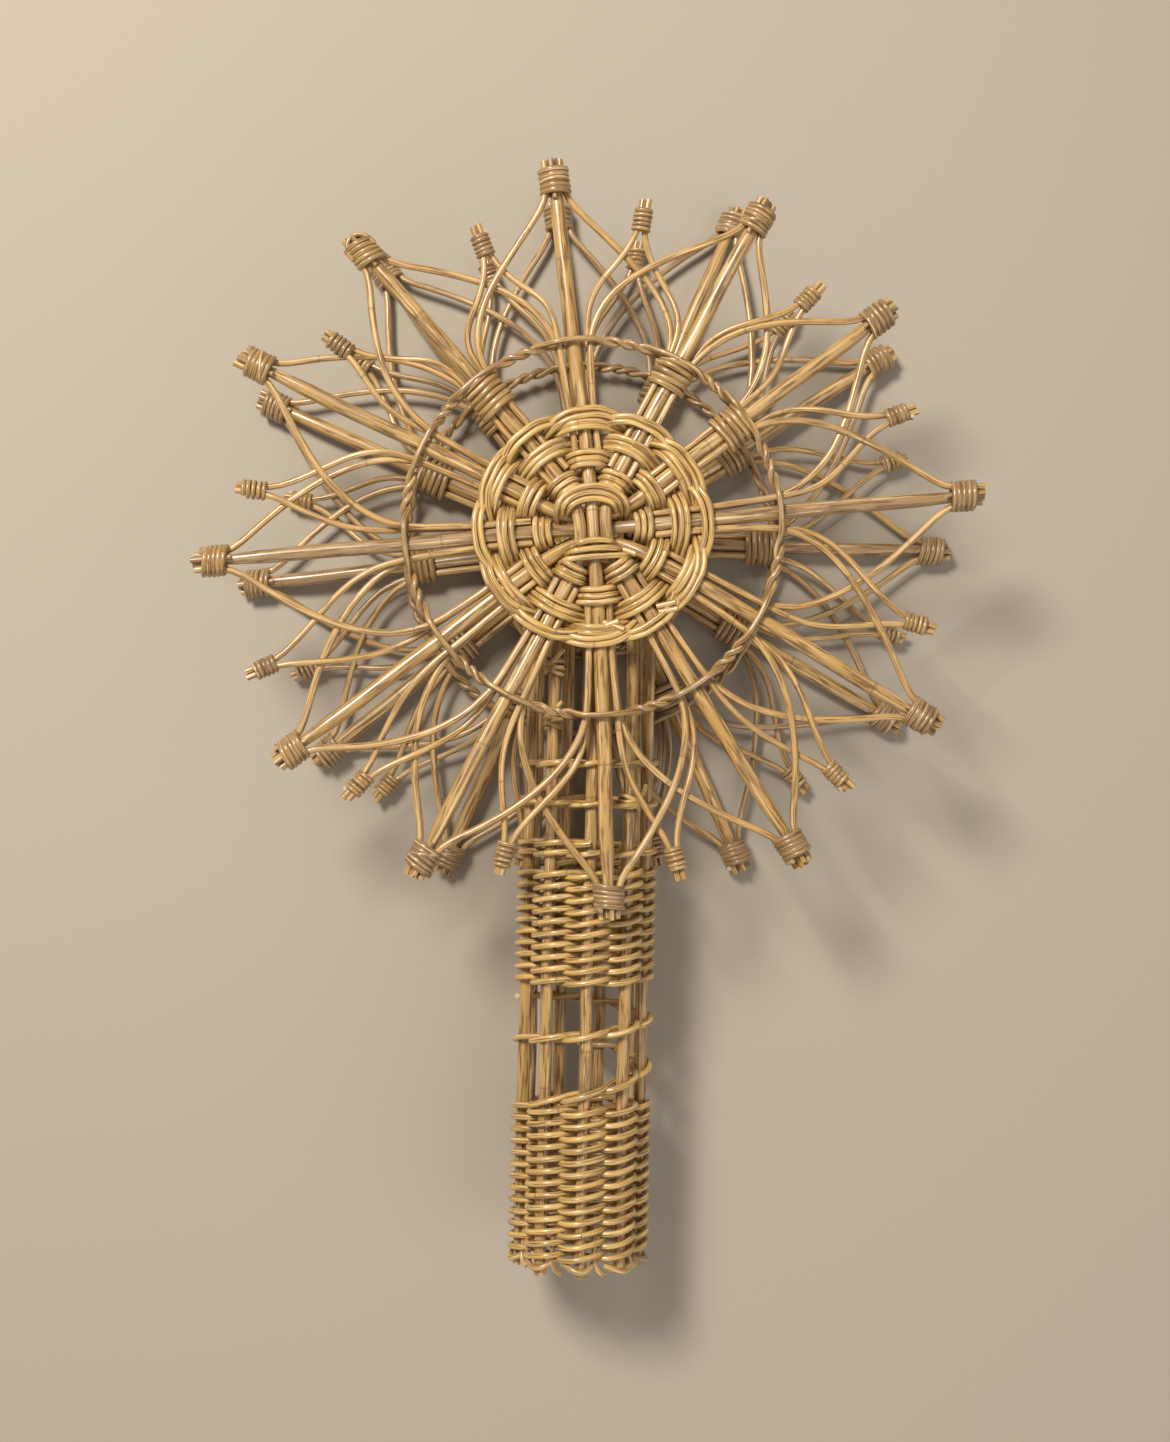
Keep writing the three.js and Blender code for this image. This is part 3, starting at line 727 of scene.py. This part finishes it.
class TOPPER_OT_rods(bpy.types.Operator):
    """Adds the thin rods that run beside the spokes and bow out into petals"""

    bl_idname = "topper.rods"
    bl_label = "Petal rods"

    def execute(self, context):
        s = context.scene.topper_sizes
        material = cane_material("pale_cane", context.scene.topper_colours.pale)
        for star in stars():
            canes = Canes(seed=31 + star.face)
            for hour in HOURS:
                left, right = star.ray(hour), star.ray(hour % 12 + 1)
                for start, goal, way in ((left, right, 1), (right, left, -1)):
                    # The back star's rods get a greyer tint: painted shade, as the back star lies under
                    # the front one
                    back_star_painted_shade = 0.0 if star.face > 0 else 0.3
                    tints = canes.random.uniform(0.0, 0.65, 2) + back_star_painted_shade
                    bow = self.bow(canes, star, start, goal, way, s)
                    canes.add(bow, s.rod, tint=tints[0])
                    side = self.side(canes, star, start, hour, way, s)
                    canes.add(side, s.side_rod, tint=tints[1])
            canes.build(f"{star.name}_petal_rods", material, petal_nodes(star), s)
        return {"FINISHED"}

    @staticmethod
    def beside(star, ray, way, layer, close, s):
        """The stretch of a rod along its spoke, which it slowly leaves where no binding holds it."""
        drift = 0.0 if ray["hour"] in star.ring_bindings else s.rod_spread
        path = []
        for radius in np.linspace(s.rod_start, s.bow_leave, 9):
            part = max(radius - s.border_radius, 0.0) / (s.bow_leave - s.border_radius)
            path.append(star.at(ray, radius, way * (close + drift * part), layer))
        return path

    def bow(self, canes, star, start, goal, way, s):
        """A rod that leaves one spoke and ends in the tip binding of the next."""
        layer = way * s.bow_layer
        path = self.beside(star, start, way, layer, (s.spoke + s.rod) / 2 + 0.1 * MM, s)
        leave = path.pop()[:2]
        enter_radius = goal["reach"] - s.cut_end - s.binding
        enter = star.on_ray(goal, enter_radius - 2 * MM, -way * (s.rod_inside + 1.4 * MM))
        depart = turned(start["along"], -way * s.bow_turn)
        arrive = turned(goal["along"], -way * s.bow_angle)
        flat = bezier(leave, leave + depart * s.bow_pull, enter - arrive * s.bow_arrival, enter, 18)
        for point in flat:
            radius = np.linalg.norm(point)
            path.append(star.point(point, star.height(radius, lift=layer)))
        end = goal["reach"] - canes.random.uniform(0.0, 1.6) * MM
        for radius in np.linspace(enter_radius + 3 * MM, end, 4):
            path.append(star.at(goal, radius, -way * s.rod_inside, layer))
        path = relaxed(path, 2)
        return canes.wander(path, 0.2 * MM, wave=150 * MM)

    def side(self, canes, star, ray, hour, way, s):
        """A rod that leaves its spoke and ends in the side tip after an hour, past the bows."""
        low = (-1.5 * way - 0.6) * MM
        high = 1.15 * way * MM
        path = self.beside(star, ray, way, low, (s.spoke + s.side_rod) / 2 + 0.15 * MM, s)
        leave = path.pop()[:2]
        outward, reach = star.side_tip(hour)
        across = clockwise_of(outward)
        end = reach - canes.random.uniform(0.0, 1.4) * MM
        inner = reach - s.cut_end - s.side_binding
        spread = -way * s.side_spread
        enter = outward * inner + across * spread
        arrive = turned(outward, -way * s.side_angle)
        steps = 16
        depart = ray["along"]
        flat = bezier(leave, leave + depart * s.side_pull, enter - arrive * s.side_arrival, enter, steps)
        for i, point in enumerate(flat):
            risen = smoothstep((i / steps - 0.25) / 0.45)
            layer = low + (high - low) * risen
            path.append(star.point(point, star.height(np.linalg.norm(point), lift=layer)))
        for radius in np.linspace(inner + 4 * MM, end, 4):
            flat_point = outward * radius + across * spread
            path.append(star.point(flat_point, star.height(radius)))
        path = relaxed(path, 2)
        return canes.wander(path, 0.2 * MM, wave=150 * MM)


class TOPPER_OT_tip_bindings(bpy.types.Operator):
    """Adds the cane wound round each main tip, with its tails"""

    bl_idname = "topper.tip_bindings"
    bl_label = "Tip bindings"

    def execute(self, context):
        s = context.scene.topper_sizes
        material = cane_material("brown_cane", context.scene.topper_colours.brown)
        for star in stars():
            canes = Canes(seed=51 + star.face)
            for hour in HOURS:
                self.binding(canes, star, star.ray(hour), s)
            canes.build(f"{star.name}_tip_bindings", material, spoke_nodes(star), s)
        return {"FINISHED"}

    @staticmethod
    def binding(canes, star, ray, s):
        """The turns on one tip, with a slanted turn or a loop on some, and the ends of their cane."""
        tip = star.at(ray, ray["reach"])
        along = tip - star.at(ray, ray["reach"] - s.binding)
        along /= np.linalg.norm(along)
        across = np.array((*ray["side"], 0.0))
        centre = tip - along * (s.cut_end + s.binding / 2)
        turns = 4.8 + canes.random.uniform(-0.4, 0.4)
        length = s.binding - s.binder
        tilt = canes.random.uniform(-0.9, 0.9) * MM
        grip = coil(centre, along, across, s.binding_wide, s.binding_high, length, turns, lean=tilt)
        grip = canes.wander(grip, 0.14 * MM, wave=30 * MM)
        pale = star.face > 0 and ray["hour"] in PALE_BINDINGS
        tint = canes.random.uniform(0.0, 0.6) if pale else 0.85
        canes.add(grip, s.binder, sides=7, tint=tint)

        # Every third binding has a slanted turn on top
        if ray["hour"] % 3 == 1:
            wide, high = s.binding_wide + 0.35 * MM, s.binding_high + 0.1 * MM
            middle = centre - along * 1.2 * MM
            slanted = coil(middle, along, across, wide, high, 1.5 * MM, turns=1.0, lean=2.6 * MM)
            canes.add(slanted[:-2], s.binder * 0.85, sides=7, tint=tint)

        rise = np.cross(across, along)
        if star.face > 0 and ray["hour"] == CAPPED:
            loop = []
            for sideways, on in CAP_LOOP:
                spot = centre + across * sideways * s.binding_wide + along * on * MM
                loop.append(spot + rise * 2.2 * MM)
            canes.add(relaxed(resampled(loop, 1.5 * MM), 4), s.binder, sides=7, tint=tint)
        for way in (-1, 1):
            inside = centre + rise * way * s.tail_height + across * canes.random.uniform(-1, 1) * MM
            length = s.binding / 2 + s.cut_end - canes.random.uniform(0.2, 1.4) * MM
            tail = [inside - along * s.binding * 0.6, inside, inside + along * length]
            canes.add(tail, s.tail, sides=7)


class TOPPER_OT_side_bindings(bpy.types.Operator):
    """Adds the cane wound round each side tip"""

    bl_idname = "topper.side_bindings"
    bl_label = "Side bindings"

    def execute(self, context):
        s = context.scene.topper_sizes
        material = cane_material("brown_cane", context.scene.topper_colours.brown)
        for star in stars():
            canes = Canes(seed=71 + star.face)
            for hour in HOURS:
                outward, reach = star.side_tip(hour)
                radius = reach - s.cut_end - s.side_binding / 2
                centre = star.point(outward * radius, star.height(radius))
                along = np.array((outward[0], outward[1], star.face * s.rise))
                along /= np.linalg.norm(along)
                across = np.array((*clockwise_of(outward), 0.0))
                length = s.side_binding - s.side_binder
                turns = 4.7 + canes.random.uniform(-0.4, 0.4)
                wide, high = s.side_binding_wide, s.side_binding_high
                grip = coil(centre, along, across, wide, high, length, turns, lean=0.5 * MM, steps=12)
                grip = canes.wander(grip, 0.1 * MM, wave=30 * MM)
                canes.add(grip, s.side_binder, sides=7)
            canes.build(f"{star.name}_side_bindings", material, petal_nodes(star), s)
        return {"FINISHED"}


class TOPPER_OT_hub_weave(bpy.types.Operator):
    """Adds the hub's strands that go over and under the rays, and the wraps beside the crossing"""

    bl_idname = "topper.hub_weave"
    bl_label = "Hub weave"

    def execute(self, context):
        s = context.scene.topper_sizes
        material = cane_material("golden_cane", context.scene.topper_colours.golden)
        for star in stars():
            canes = Canes(seed=91 + star.face)
            for radius, even_over in HUB_STRANDS:
                path = self.strand(canes, star, radius * MM, even_over, s)
                canes.add(path, s.hub_weaver, closed=True, tint=canes.random.uniform(0.0, 0.65))
            for hour in HOURS:
                for inset in (0.0, s.hub_weaver + 0.05 * MM):
                    path = self.border(canes, star, hour, inset, s)
                    canes.add(path, s.hub_weaver, tint=canes.random.uniform(0.0, 0.65))
            for index in range(HUB_WRAPS):
                for path in (self.upper_wrap(star, index, s), self.lower_wrap(star, index, s)):
                    canes.add(path, s.hub_weaver, tint=canes.random.uniform(0.0, 0.6))
            if star.name == "front":
                for ends in HUB_STUBS:
                    path = self.stub(star, ends, s)
                    canes.add(path, s.hub_weaver, tint=canes.random.uniform(0.4, 0.9))
            nodes = [f"{star.name}_hub_row_{i}" for i in range(1, 5)]
            canes.build(f"{star.name}_hub_weave", material, nodes, s)
        return {"FINISHED"}

    @staticmethod
    def strand(canes, star, radius, even_over, s):
        """A closed strand over every second ray and under the others, flat where it lies on a ray."""
        steps = 10
        step_angle = math.radians(30)
        flat_share = min(0.32, 4.2 * MM / (radius * step_angle))
        past = max(radius - s.level_radius, 0.0) / radius
        offset = s.spoke / 2 + s.hub_weaver / 2 + 0.1 * MM
        drift = canes.random.uniform(-0.3, 0.3, 12) * MM
        path = []
        for i, hour in enumerate(HOURS):
            nearby = [hour, hour % 12 + 1]
            signs = [1 if (h % 2 == 0) == even_over else -1 for h in nearby]
            ends = [star.height(radius, h) + sign * offset for h, sign in zip(nearby, signs)]
            lean = [math.radians(star.lean[h - 1]) for h in nearby]
            for k in range(steps):
                part = k / steps
                eased = smoothstep((part - flat_share) / (1 - 2 * flat_share))
                height = ends[0] + (ends[1] - ends[0]) * eased
                wobble = drift[i] + (drift[(i + 1) % 12] - drift[i]) * part
                turn_back = past * (lean[0] + (lean[1] - lean[0]) * part)
                angle = star.clock(hour) - step_angle * part - turn_back
                path.append(star.point(polar(radius + wobble, angle), height))
        return np.array(path)

    @staticmethod
    def border(canes, star, hour, inset, s):
        """A short strand of the border: from under the last one, over its ray, and under the next."""
        ray = star.ray(hour)
        middle = star.on_ray(ray, s.border_radius)
        middle_angle = math.atan2(middle[1], middle[0])
        offset = s.spoke / 2 + s.hub_weaver / 2 + 0.2 * MM
        path = []
        for degrees, out, layer in BORDER_STATIONS:
            radius = s.border_radius + out * MM - inset + canes.random.uniform(-0.25, 0.25) * MM
            angle = middle_angle - math.radians(degrees)
            path.append(star.point(polar(radius, angle), star.height(radius, lift=layer * offset)))
        return relaxed(resampled(path, 1.8 * MM), 5)

    @staticmethod
    def stub(star, ends, s):
        """A cut end that comes up out of the weave from one flat place to the other."""
        path = []
        for end, layer in zip(ends, (0.9, 1.25)):
            flat = np.array(end) * MM
            lift = layer * (s.spoke + s.hub_weaver) / 2
            path.append(star.point(flat, star.height(np.linalg.norm(flat), lift=lift)))
        return resampled(path, 2 * MM)

    @staticmethod
    def upper_wrap(star, index, s):
        """An arch over the upright spokes above the crossing, with both feet under the level ones."""
        top = star.height(s.cross_radius, 12) + s.spoke_waist / 2 + s.hub_weaver / 2 + 0.1 * MM
        under = star.height(s.cross_radius, 3) - 2.4 * MM
        wide = (10.6 + 2.5 * index) * MM
        high = (5.6 + 2.85 * index) * MM
        shoulder = 6.4 * MM
        foot = 0.35
        slope = 0.8 - 0.12 * index
        path = []
        for angle in np.linspace(-foot, math.pi + foot, 30):
            flat = turned((wide * math.cos(angle), shoulder + high * math.sin(angle)), s.star_turn)
            risen = smoothstep((math.sin(angle) + 0.25) / slope)
            path.append(star.point(flat, under + (top - under) * risen))
        return np.array(path)

    @staticmethod
    def lower_wrap(star, index, s):
        """A nearly straight strand over the upright spokes below the crossing."""
        top = star.height(s.cross_radius, 6) + s.spoke_waist / 2 + s.hub_weaver / 2 + 0.1 * MM
        under = star.height(s.cross_radius, 3) - 2.4 * MM
        half = (11.0 + 3.0 * index) * MM
        y = (-8.4 - 2.75 * index) * MM
        arch = (2.4 - 0.9 * index) * MM
        slope = 0.42 - 0.06 * index
        path = []
        for part in np.linspace(-1, 1, 26):
            flat = turned((half * part, y + arch * (1 - part * part)), s.star_turn)
            risen = smoothstep((1 - abs(part)) / slope)
            path.append(star.point(flat, under + (top - under) * risen))
        return np.array(path)


class TOPPER_OT_rings(bpy.types.Operator):
    """Adds the two-strand ring of each star and the bindings beside it"""

    bl_idname = "topper.rings"
    bl_label = "Rings"

    def execute(self, context):
        s = context.scene.topper_sizes
        material = cane_material("brown_cane", context.scene.topper_colours.brown)
        for star in stars():
            canes = Canes(seed=111 + star.face)
            for strand in (0, 1):
                path = self.strand(star, strand, s)
                canes.add(path, s.ring_strand, closed=True, tint=0.3 + 0.4 * strand)
            tint = 0.1 if star.face > 0 else 0.75
            for hour, turns in star.ring_bindings.items():
                path = self.binding(canes, star, hour, turns, s)
                canes.add(path, s.ring_binder, sides=7, tint=tint)
            canes.build(f"{star.name}_ring_twist", material, [f"{star.name}_ring"], s)
        return {"FINISHED"}

    @staticmethod
    def strand(star, which, s):
        """One strand of the pair: over a ray and under the next, wound round its partner in between."""
        steps = 20
        path = []
        clear = s.spoke / 2 + s.ring_strand / 2 + 0.6 * MM
        for hour in HOURS:
            rays = [star.ray(hour), star.ray(hour % 12 + 1)]
            ends = [star.on_ray(ray, star.ring_radius) for ray in rays]
            gap = np.linalg.norm(ends[1] - ends[0])
            hold = (s.spoke / 2 + s.rod + s.rod_spread + 0.4 * MM) / gap
            for k in range(steps):
                part = k / steps
                flat = ends[0] + (ends[1] - ends[0]) * part
                angle = math.atan2(flat[1], flat[0])
                free = smoothstep((part - hold) / (1 - 2 * hold))
                phase = math.pi * (hour + which) + math.pi / 2 + 3 * math.pi * free
                near = min(part, 1 - part) / hold
                reach = clear + (s.ring_strand / 2 - clear) * smoothstep((near - 0.9) / 0.8)
                radius = star.ring_radius + s.ring_strand / 2 * math.cos(phase)
                height = star.height(radius) + reach * math.sin(phase)
                path.append(star.point(polar(radius, angle), height))
        return np.array(path)

    @staticmethod
    def binding(canes, star, hour, turns, s):
        """Cane wound round a spoke and its rods, from the ring inwards."""
        ray = star.ray(hour)
        inner = star.at(ray, star.ring_radius - turns * s.ring_binder + 1.5 * MM)
        outer = star.at(ray, star.ring_radius - 0.1 * s.ring_binder)
        along = (outer - inner) / np.linalg.norm(outer - inner)
        across = np.array((*ray["side"], 0.0))
        wide = s.spoke / 2 + s.rod + s.ring_binder / 2
        high = s.spoke / 2 + s.ring_binder / 2 + 0.2 * MM
        length = np.linalg.norm(outer - inner)
        middle = (inner + outer) / 2
        grip = coil(middle, along, across, wide, high, length, turns - 0.5, lean=0.8 * MM, steps=16)
        return canes.wander(grip, 0.15 * MM, wave=30 * MM)


def around(s, radius, angle, y):
    """A point about the tube's axis; angles start at the front and run towards +X."""
    return np.array((s.tube_shift + radius * math.sin(angle), y, radius * math.cos(angle)))


def stake_angle(s, number):
    """Angle of a stake about the tube's axis; a number between two stakes is a place between them."""
    return s.stake_turn + 2 * math.pi * number / s.stakes


class TOPPER_OT_stakes(bpy.types.Operator):
    """Adds the stakes of the tube"""

    bl_idname = "topper.stakes"
    bl_label = "Stakes"

    def execute(self, context):
        s = context.scene.topper_sizes
        canes = Canes(seed=131)
        for number in range(s.stakes):
            angle = stake_angle(s, number)
            foot = s.stake_foot + canes.random.uniform(-0.8, 1.6) * MM
            top = s.stake_top + (s.stake_tuck if number else 0.0)
            levels = np.linspace(top, foot, 40)
            path = np.array([around(s, s.stake_circle, angle, y) for y in levels])
            path = canes.wander(path, 0.16 * MM, wave=110 * MM)
            canes.add(path, s.stake, sides=12, tint=canes.random.uniform(0.0, 0.7))
        material = cane_material("honey_cane", context.scene.topper_colours.honey)
        nodes = [f"tube_stake_{number}" for number in range(1, s.stakes + 1)]
        canes.build("stakes", material, nodes, s)
        return {"FINISHED"}


def evenly(low, high):
    """The place along the tube of a strand that climbs evenly, from the share of it that is done."""
    return lambda part: low + (high - low) * part


def twined(s, which, start, turns, level, slant):
    """A strand round the stakes, outside one and inside the next; level places it along the tube."""
    steps = 8
    hold = 0.72
    away = s.stake / 2 + s.tube_weaver / 2 + 0.05 * MM
    total = round(turns * s.stakes * steps)
    path = []
    for i in range(total + 1):
        passed = start + i / steps
        wave = math.cos(math.pi * (passed + which))
        radius = s.stake_circle + away * math.copysign(abs(wave) ** hold, wave)
        y = level(i / total) + slant * math.sin(math.pi * (passed + which))
        path.append(around(s, radius, stake_angle(s, passed), y))
    return np.array(path)


class TOPPER_OT_bands(bpy.types.Operator):
    """Adds the rows of twined strands of the two woven bands"""

    bl_idname = "topper.bands"
    bl_label = "Woven bands"

    def execute(self, context):
        s = context.scene.topper_sizes
        material = cane_material("golden_cane", context.scene.topper_colours.golden)
        margin = s.tube_weaver / 2 + s.row_slant
        bands = (
            ("upper", 151, s.upper_foot + margin, s.upper_top - margin),
            ("lower", 152, s.lower_foot + margin + s.rim, s.lower_top - margin),
        )
        for name, seed, low, high in bands:
            canes = Canes(seed)
            turns = max(1, round((high - low) / s.row_pitch * s.stakes)) / s.stakes
            for which in (0, 1):
                path = twined(s, which, 4, turns, evenly(low, high), s.row_slant)
                for piece in np.array_split(np.arange(len(path) - 1), BAND_CANES):
                    stretch = path[piece[0] : piece[-1] + 2]
                    canes.add(stretch, s.tube_weaver, tint=canes.random.uniform(0.0, 0.75))
            canes.build(f"weave_{name}", material, [f"tube_band_{name}"], s)
        return {"FINISHED"}


class TOPPER_OT_twists(bpy.types.Operator):
    """Adds the loose twined strands between and above the bands, with their ties"""

    bl_idname = "topper.twists"
    bl_label = "Loose twists"

    def execute(self, context):
        s = context.scene.topper_sizes
        material = cane_material("golden_cane", context.scene.topper_colours.golden)
        middle = Canes(seed=171)
        halves = np.array(CLIMB) * MM

        # The twist starts a little left of the front, and goes on to its second pass of the left side
        start = -0.14 * s.stakes
        turns = 2 - (start / s.stakes + 0.25)
        sides_passed = np.arange(1, len(halves)) / 2 - 0.25 - start / s.stakes
        passed = np.concatenate(([0.0], sides_passed / turns))

        def climb(part):
            return float(np.interp(part, passed, halves))

        for which in (0, 1):
            path = twined(s, which, start, turns, climb, 1.0 * MM)
            middle.add(path, s.tube_weaver, tint=0.2 + 0.4 * which)
        middle.build("twist_middle", material, ["tube_twist_middle"], s)

        top = Canes(seed=172)
        for turns, *ends in TOP_ROWS:
            low, high = (s.upper_top + end * MM for end in ends)
            for which in (0, 1):
                path = twined(s, which, -s.stakes / 4, turns, evenly(low, high), 0.8 * MM)
                top.add(path, s.tube_weaver, tint=0.2 + 0.4 * which)
        for number, y, turns in TIES:
            self.tie(top, s, number, y * MM, turns)
        top.build("twist_top", material, ["tube_twist_top"], s)
        return {"FINISHED"}

    @staticmethod
    def tie(canes, s, number, y, turns):
        """Two strands wound round one stake across each other, with a loose end."""
        angle = stake_angle(s, number)
        centre = around(s, s.stake_circle, angle, y)
        outward = np.array((math.sin(angle), 0.0, math.cos(angle)))
        across = np.array((math.cos(angle), 0.0, -math.sin(angle)))
        along = np.array((0.0, 1.0, 0.0))
        grip = (s.stake + s.tube_weaver) / 2 + 0.1 * MM
        for lean in (1.6 * MM, -1.6 * MM):
            path = coil(centre, along, across, grip, grip, turns * s.tube_weaver, turns, lean)
            path = canes.wander(path, 0.12 * MM, wave=30 * MM)
            canes.add(path, s.tube_weaver * 0.8, sides=7)
        tail = [centre + outward * grip]
        tail.append(tail[0] + outward * 0.6 * MM + across * 4 * MM + along * 3 * MM)
        tail.append(tail[1] + across * 3 * MM + along * 4 * MM - outward * 1.5 * MM)
        canes.add(relaxed(resampled(tail, 1.5 * MM), 3), s.tube_weaver * 0.8, sides=7)


class TOPPER_OT_rim(bpy.types.Operator):
    """Adds the bent ends of the last strands at the tube's mouth"""

    bl_idname = "topper.rim"
    bl_label = "Rim ends"

    def execute(self, context):
        s = context.scene.topper_sizes
        canes = Canes(seed=191)
        for number in range(s.stakes):
            canes.add(self.hook(canes, s, number), s.tube_weaver, sides=7)
            canes.add(self.end(canes, s, number), s.tube_weaver * 0.85, sides=7)
        material = cane_material("golden_cane", context.scene.topper_colours.golden)
        canes.build("rim_ends", material, ["tube_band_lower"], s)
        return {"FINISHED"}

    @staticmethod
    def hook(canes, s, number):
        """A strand that comes out beside a stake, passes below it and goes in again."""
        middle = stake_angle(s, number)
        aside = math.radians(8)
        outside = s.stake_circle + s.stake / 2 + s.tube_weaver / 2 + 0.2 * MM
        low = s.lower_foot + canes.random.uniform(-0.4, 1.4) * MM
        path = [
            around(s, s.stake_circle, middle - math.radians(17), low + 3.5 * MM),
            around(s, outside - 1.0 * MM, middle - aside, low + 1.8 * MM),
            around(s, outside, middle, low),
            around(s, outside - 1.0 * MM, middle + aside, low + 1.8 * MM),
            around(s, s.stake_circle - 1.5 * MM, middle + 2 * aside, low + 4.5 * MM),
        ]
        return relaxed(resampled(path, 1.6 * MM), 3)

    @staticmethod
    def end(canes, s, number):
        """The end of a strand that comes down inside the tube and bends aside at its mouth."""
        angle = stake_angle(s, number + 0.32)
        aside = math.radians(5)
        inside = s.stake_circle - 0.5 * MM
        foot = s.lower_foot + canes.random.uniform(-1.2, 0.6) * MM
        path = [
            around(s, inside, angle, s.lower_foot + 16 * MM),
            around(s, inside + 1.2 * MM, angle, s.lower_foot + 5 * MM),
            around(s, inside + 2.2 * MM, angle + aside, foot + 1 * MM),
            around(s, inside + 1.2 * MM, angle + 2 * aside, foot + 0.2 * MM),
        ]
        return relaxed(resampled(path, 1.5 * MM), 3)


class TOPPER_OT_stage(bpy.types.Operator):
    """Adds the floor, the lights and the camera"""

    bl_idname = "topper.stage"
    bl_label = "Stage"

    def execute(self, context):
        colours = context.scene.topper_colours
        bpy.ops.mesh.primitive_plane_add(size=FLOOR_SIDE)
        floor = context.object
        floor.name = "floor"
        material = bpy.data.materials.new("floor")
        material.use_nodes = True
        shader = material.node_tree.nodes["Principled BSDF"]
        shader.inputs["Base Color"].default_value = (*colours.floor, 1.0)
        shader.inputs["Roughness"].default_value = 0.85
        floor.data.materials.append(material)
        for values in LIGHTS:
            self.light(context, *values)
        context.scene.view_settings.view_transform = "Standard"
        world = bpy.data.worlds.new("studio")
        world.use_nodes = True
        background = world.node_tree.nodes["Background"]
        background.inputs["Color"].default_value = SKY_COLOUR
        background.inputs["Strength"].default_value = SKY_STRENGTH
        context.scene.world = world
        camera_data = bpy.data.cameras.new("camera")
        camera_data.sensor_width = 36.0
        camera_data.lens = CAMERA_LENS
        camera_data.clip_start = 0.01
        camera = bpy.data.objects.new("camera", camera_data)
        camera.location = CAMERA_PLACE
        tilt = Vector([math.radians(degrees) for degrees in CAMERA_TILT])
        camera.rotation_mode = "AXIS_ANGLE"
        camera.rotation_axis_angle = (tilt.length, *tilt.normalized())
        context.collection.objects.link(camera)
        context.scene.camera = camera
        return {"FINISHED"}

    @staticmethod
    def light(context, name, spot, side, power, colour):
        """A square lamp that shines from its spot towards the middle of the floor."""
        data = bpy.data.lights.new(name, "AREA")
        data.size = side
        data.energy = power
        data.color = colour
        lamp = bpy.data.objects.new(name, data)
        lamp.location = spot
        lamp.rotation_mode = "QUATERNION"
        lamp.rotation_quaternion = Vector(spot).to_track_quat("Z", "Y")
        context.collection.objects.link(lamp)


class TOPPER_PT_panel(bpy.types.Panel):
    """Sidebar panel of the topper"""

    bl_idname = "TOPPER_PT_panel"
    bl_label = "Rattan Star Topper"
    bl_space_type = "VIEW_3D"
    bl_region_type = "UI"
    bl_category = "Topper"

    def draw(self, context):
        for operator in OPERATORS:
            self.layout.operator(operator.bl_idname)
        for group in (context.scene.topper_sizes, context.scene.topper_colours):
            box = self.layout.box()
            for name in group.bl_rna.properties.keys():
                if name not in ("rna_type", "name"):
                    box.prop(group, name)


OPERATORS = (
    TOPPER_OT_spokes,
    TOPPER_OT_rods,
    TOPPER_OT_tip_bindings,
    TOPPER_OT_side_bindings,
    TOPPER_OT_hub_weave,
    TOPPER_OT_rings,
    TOPPER_OT_stakes,
    TOPPER_OT_bands,
    TOPPER_OT_twists,
    TOPPER_OT_rim,
    TOPPER_OT_stage,
)
CLASSES = (TopperSizes, TopperColours, *OPERATORS, TOPPER_PT_panel)


def register():
    for cls in CLASSES:
        bpy.utils.register_class(cls)
    bpy.types.Scene.topper_sizes = bpy.props.PointerProperty(type=TopperSizes)
    bpy.types.Scene.topper_colours = bpy.props.PointerProperty(type=TopperColours)


def unregister():
    del bpy.types.Scene.topper_colours
    del bpy.types.Scene.topper_sizes
    for cls in reversed(CLASSES):
        bpy.utils.unregister_class(cls)


def main():
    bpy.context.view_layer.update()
    register()
    bpy.ops.object.select_all(action="DESELECT")
    bpy.ops.topper.spokes()
    bpy.ops.topper.rods()
    bpy.ops.topper.tip_bindings()
    bpy.ops.topper.side_bindings()
    bpy.ops.topper.hub_weave()
    bpy.ops.topper.rings()
    bpy.ops.topper.stakes()
    bpy.ops.topper.bands()
    bpy.ops.topper.twists()
    bpy.ops.topper.rim()
    bpy.ops.topper.stage()


if __name__ == "__main__":
    main()
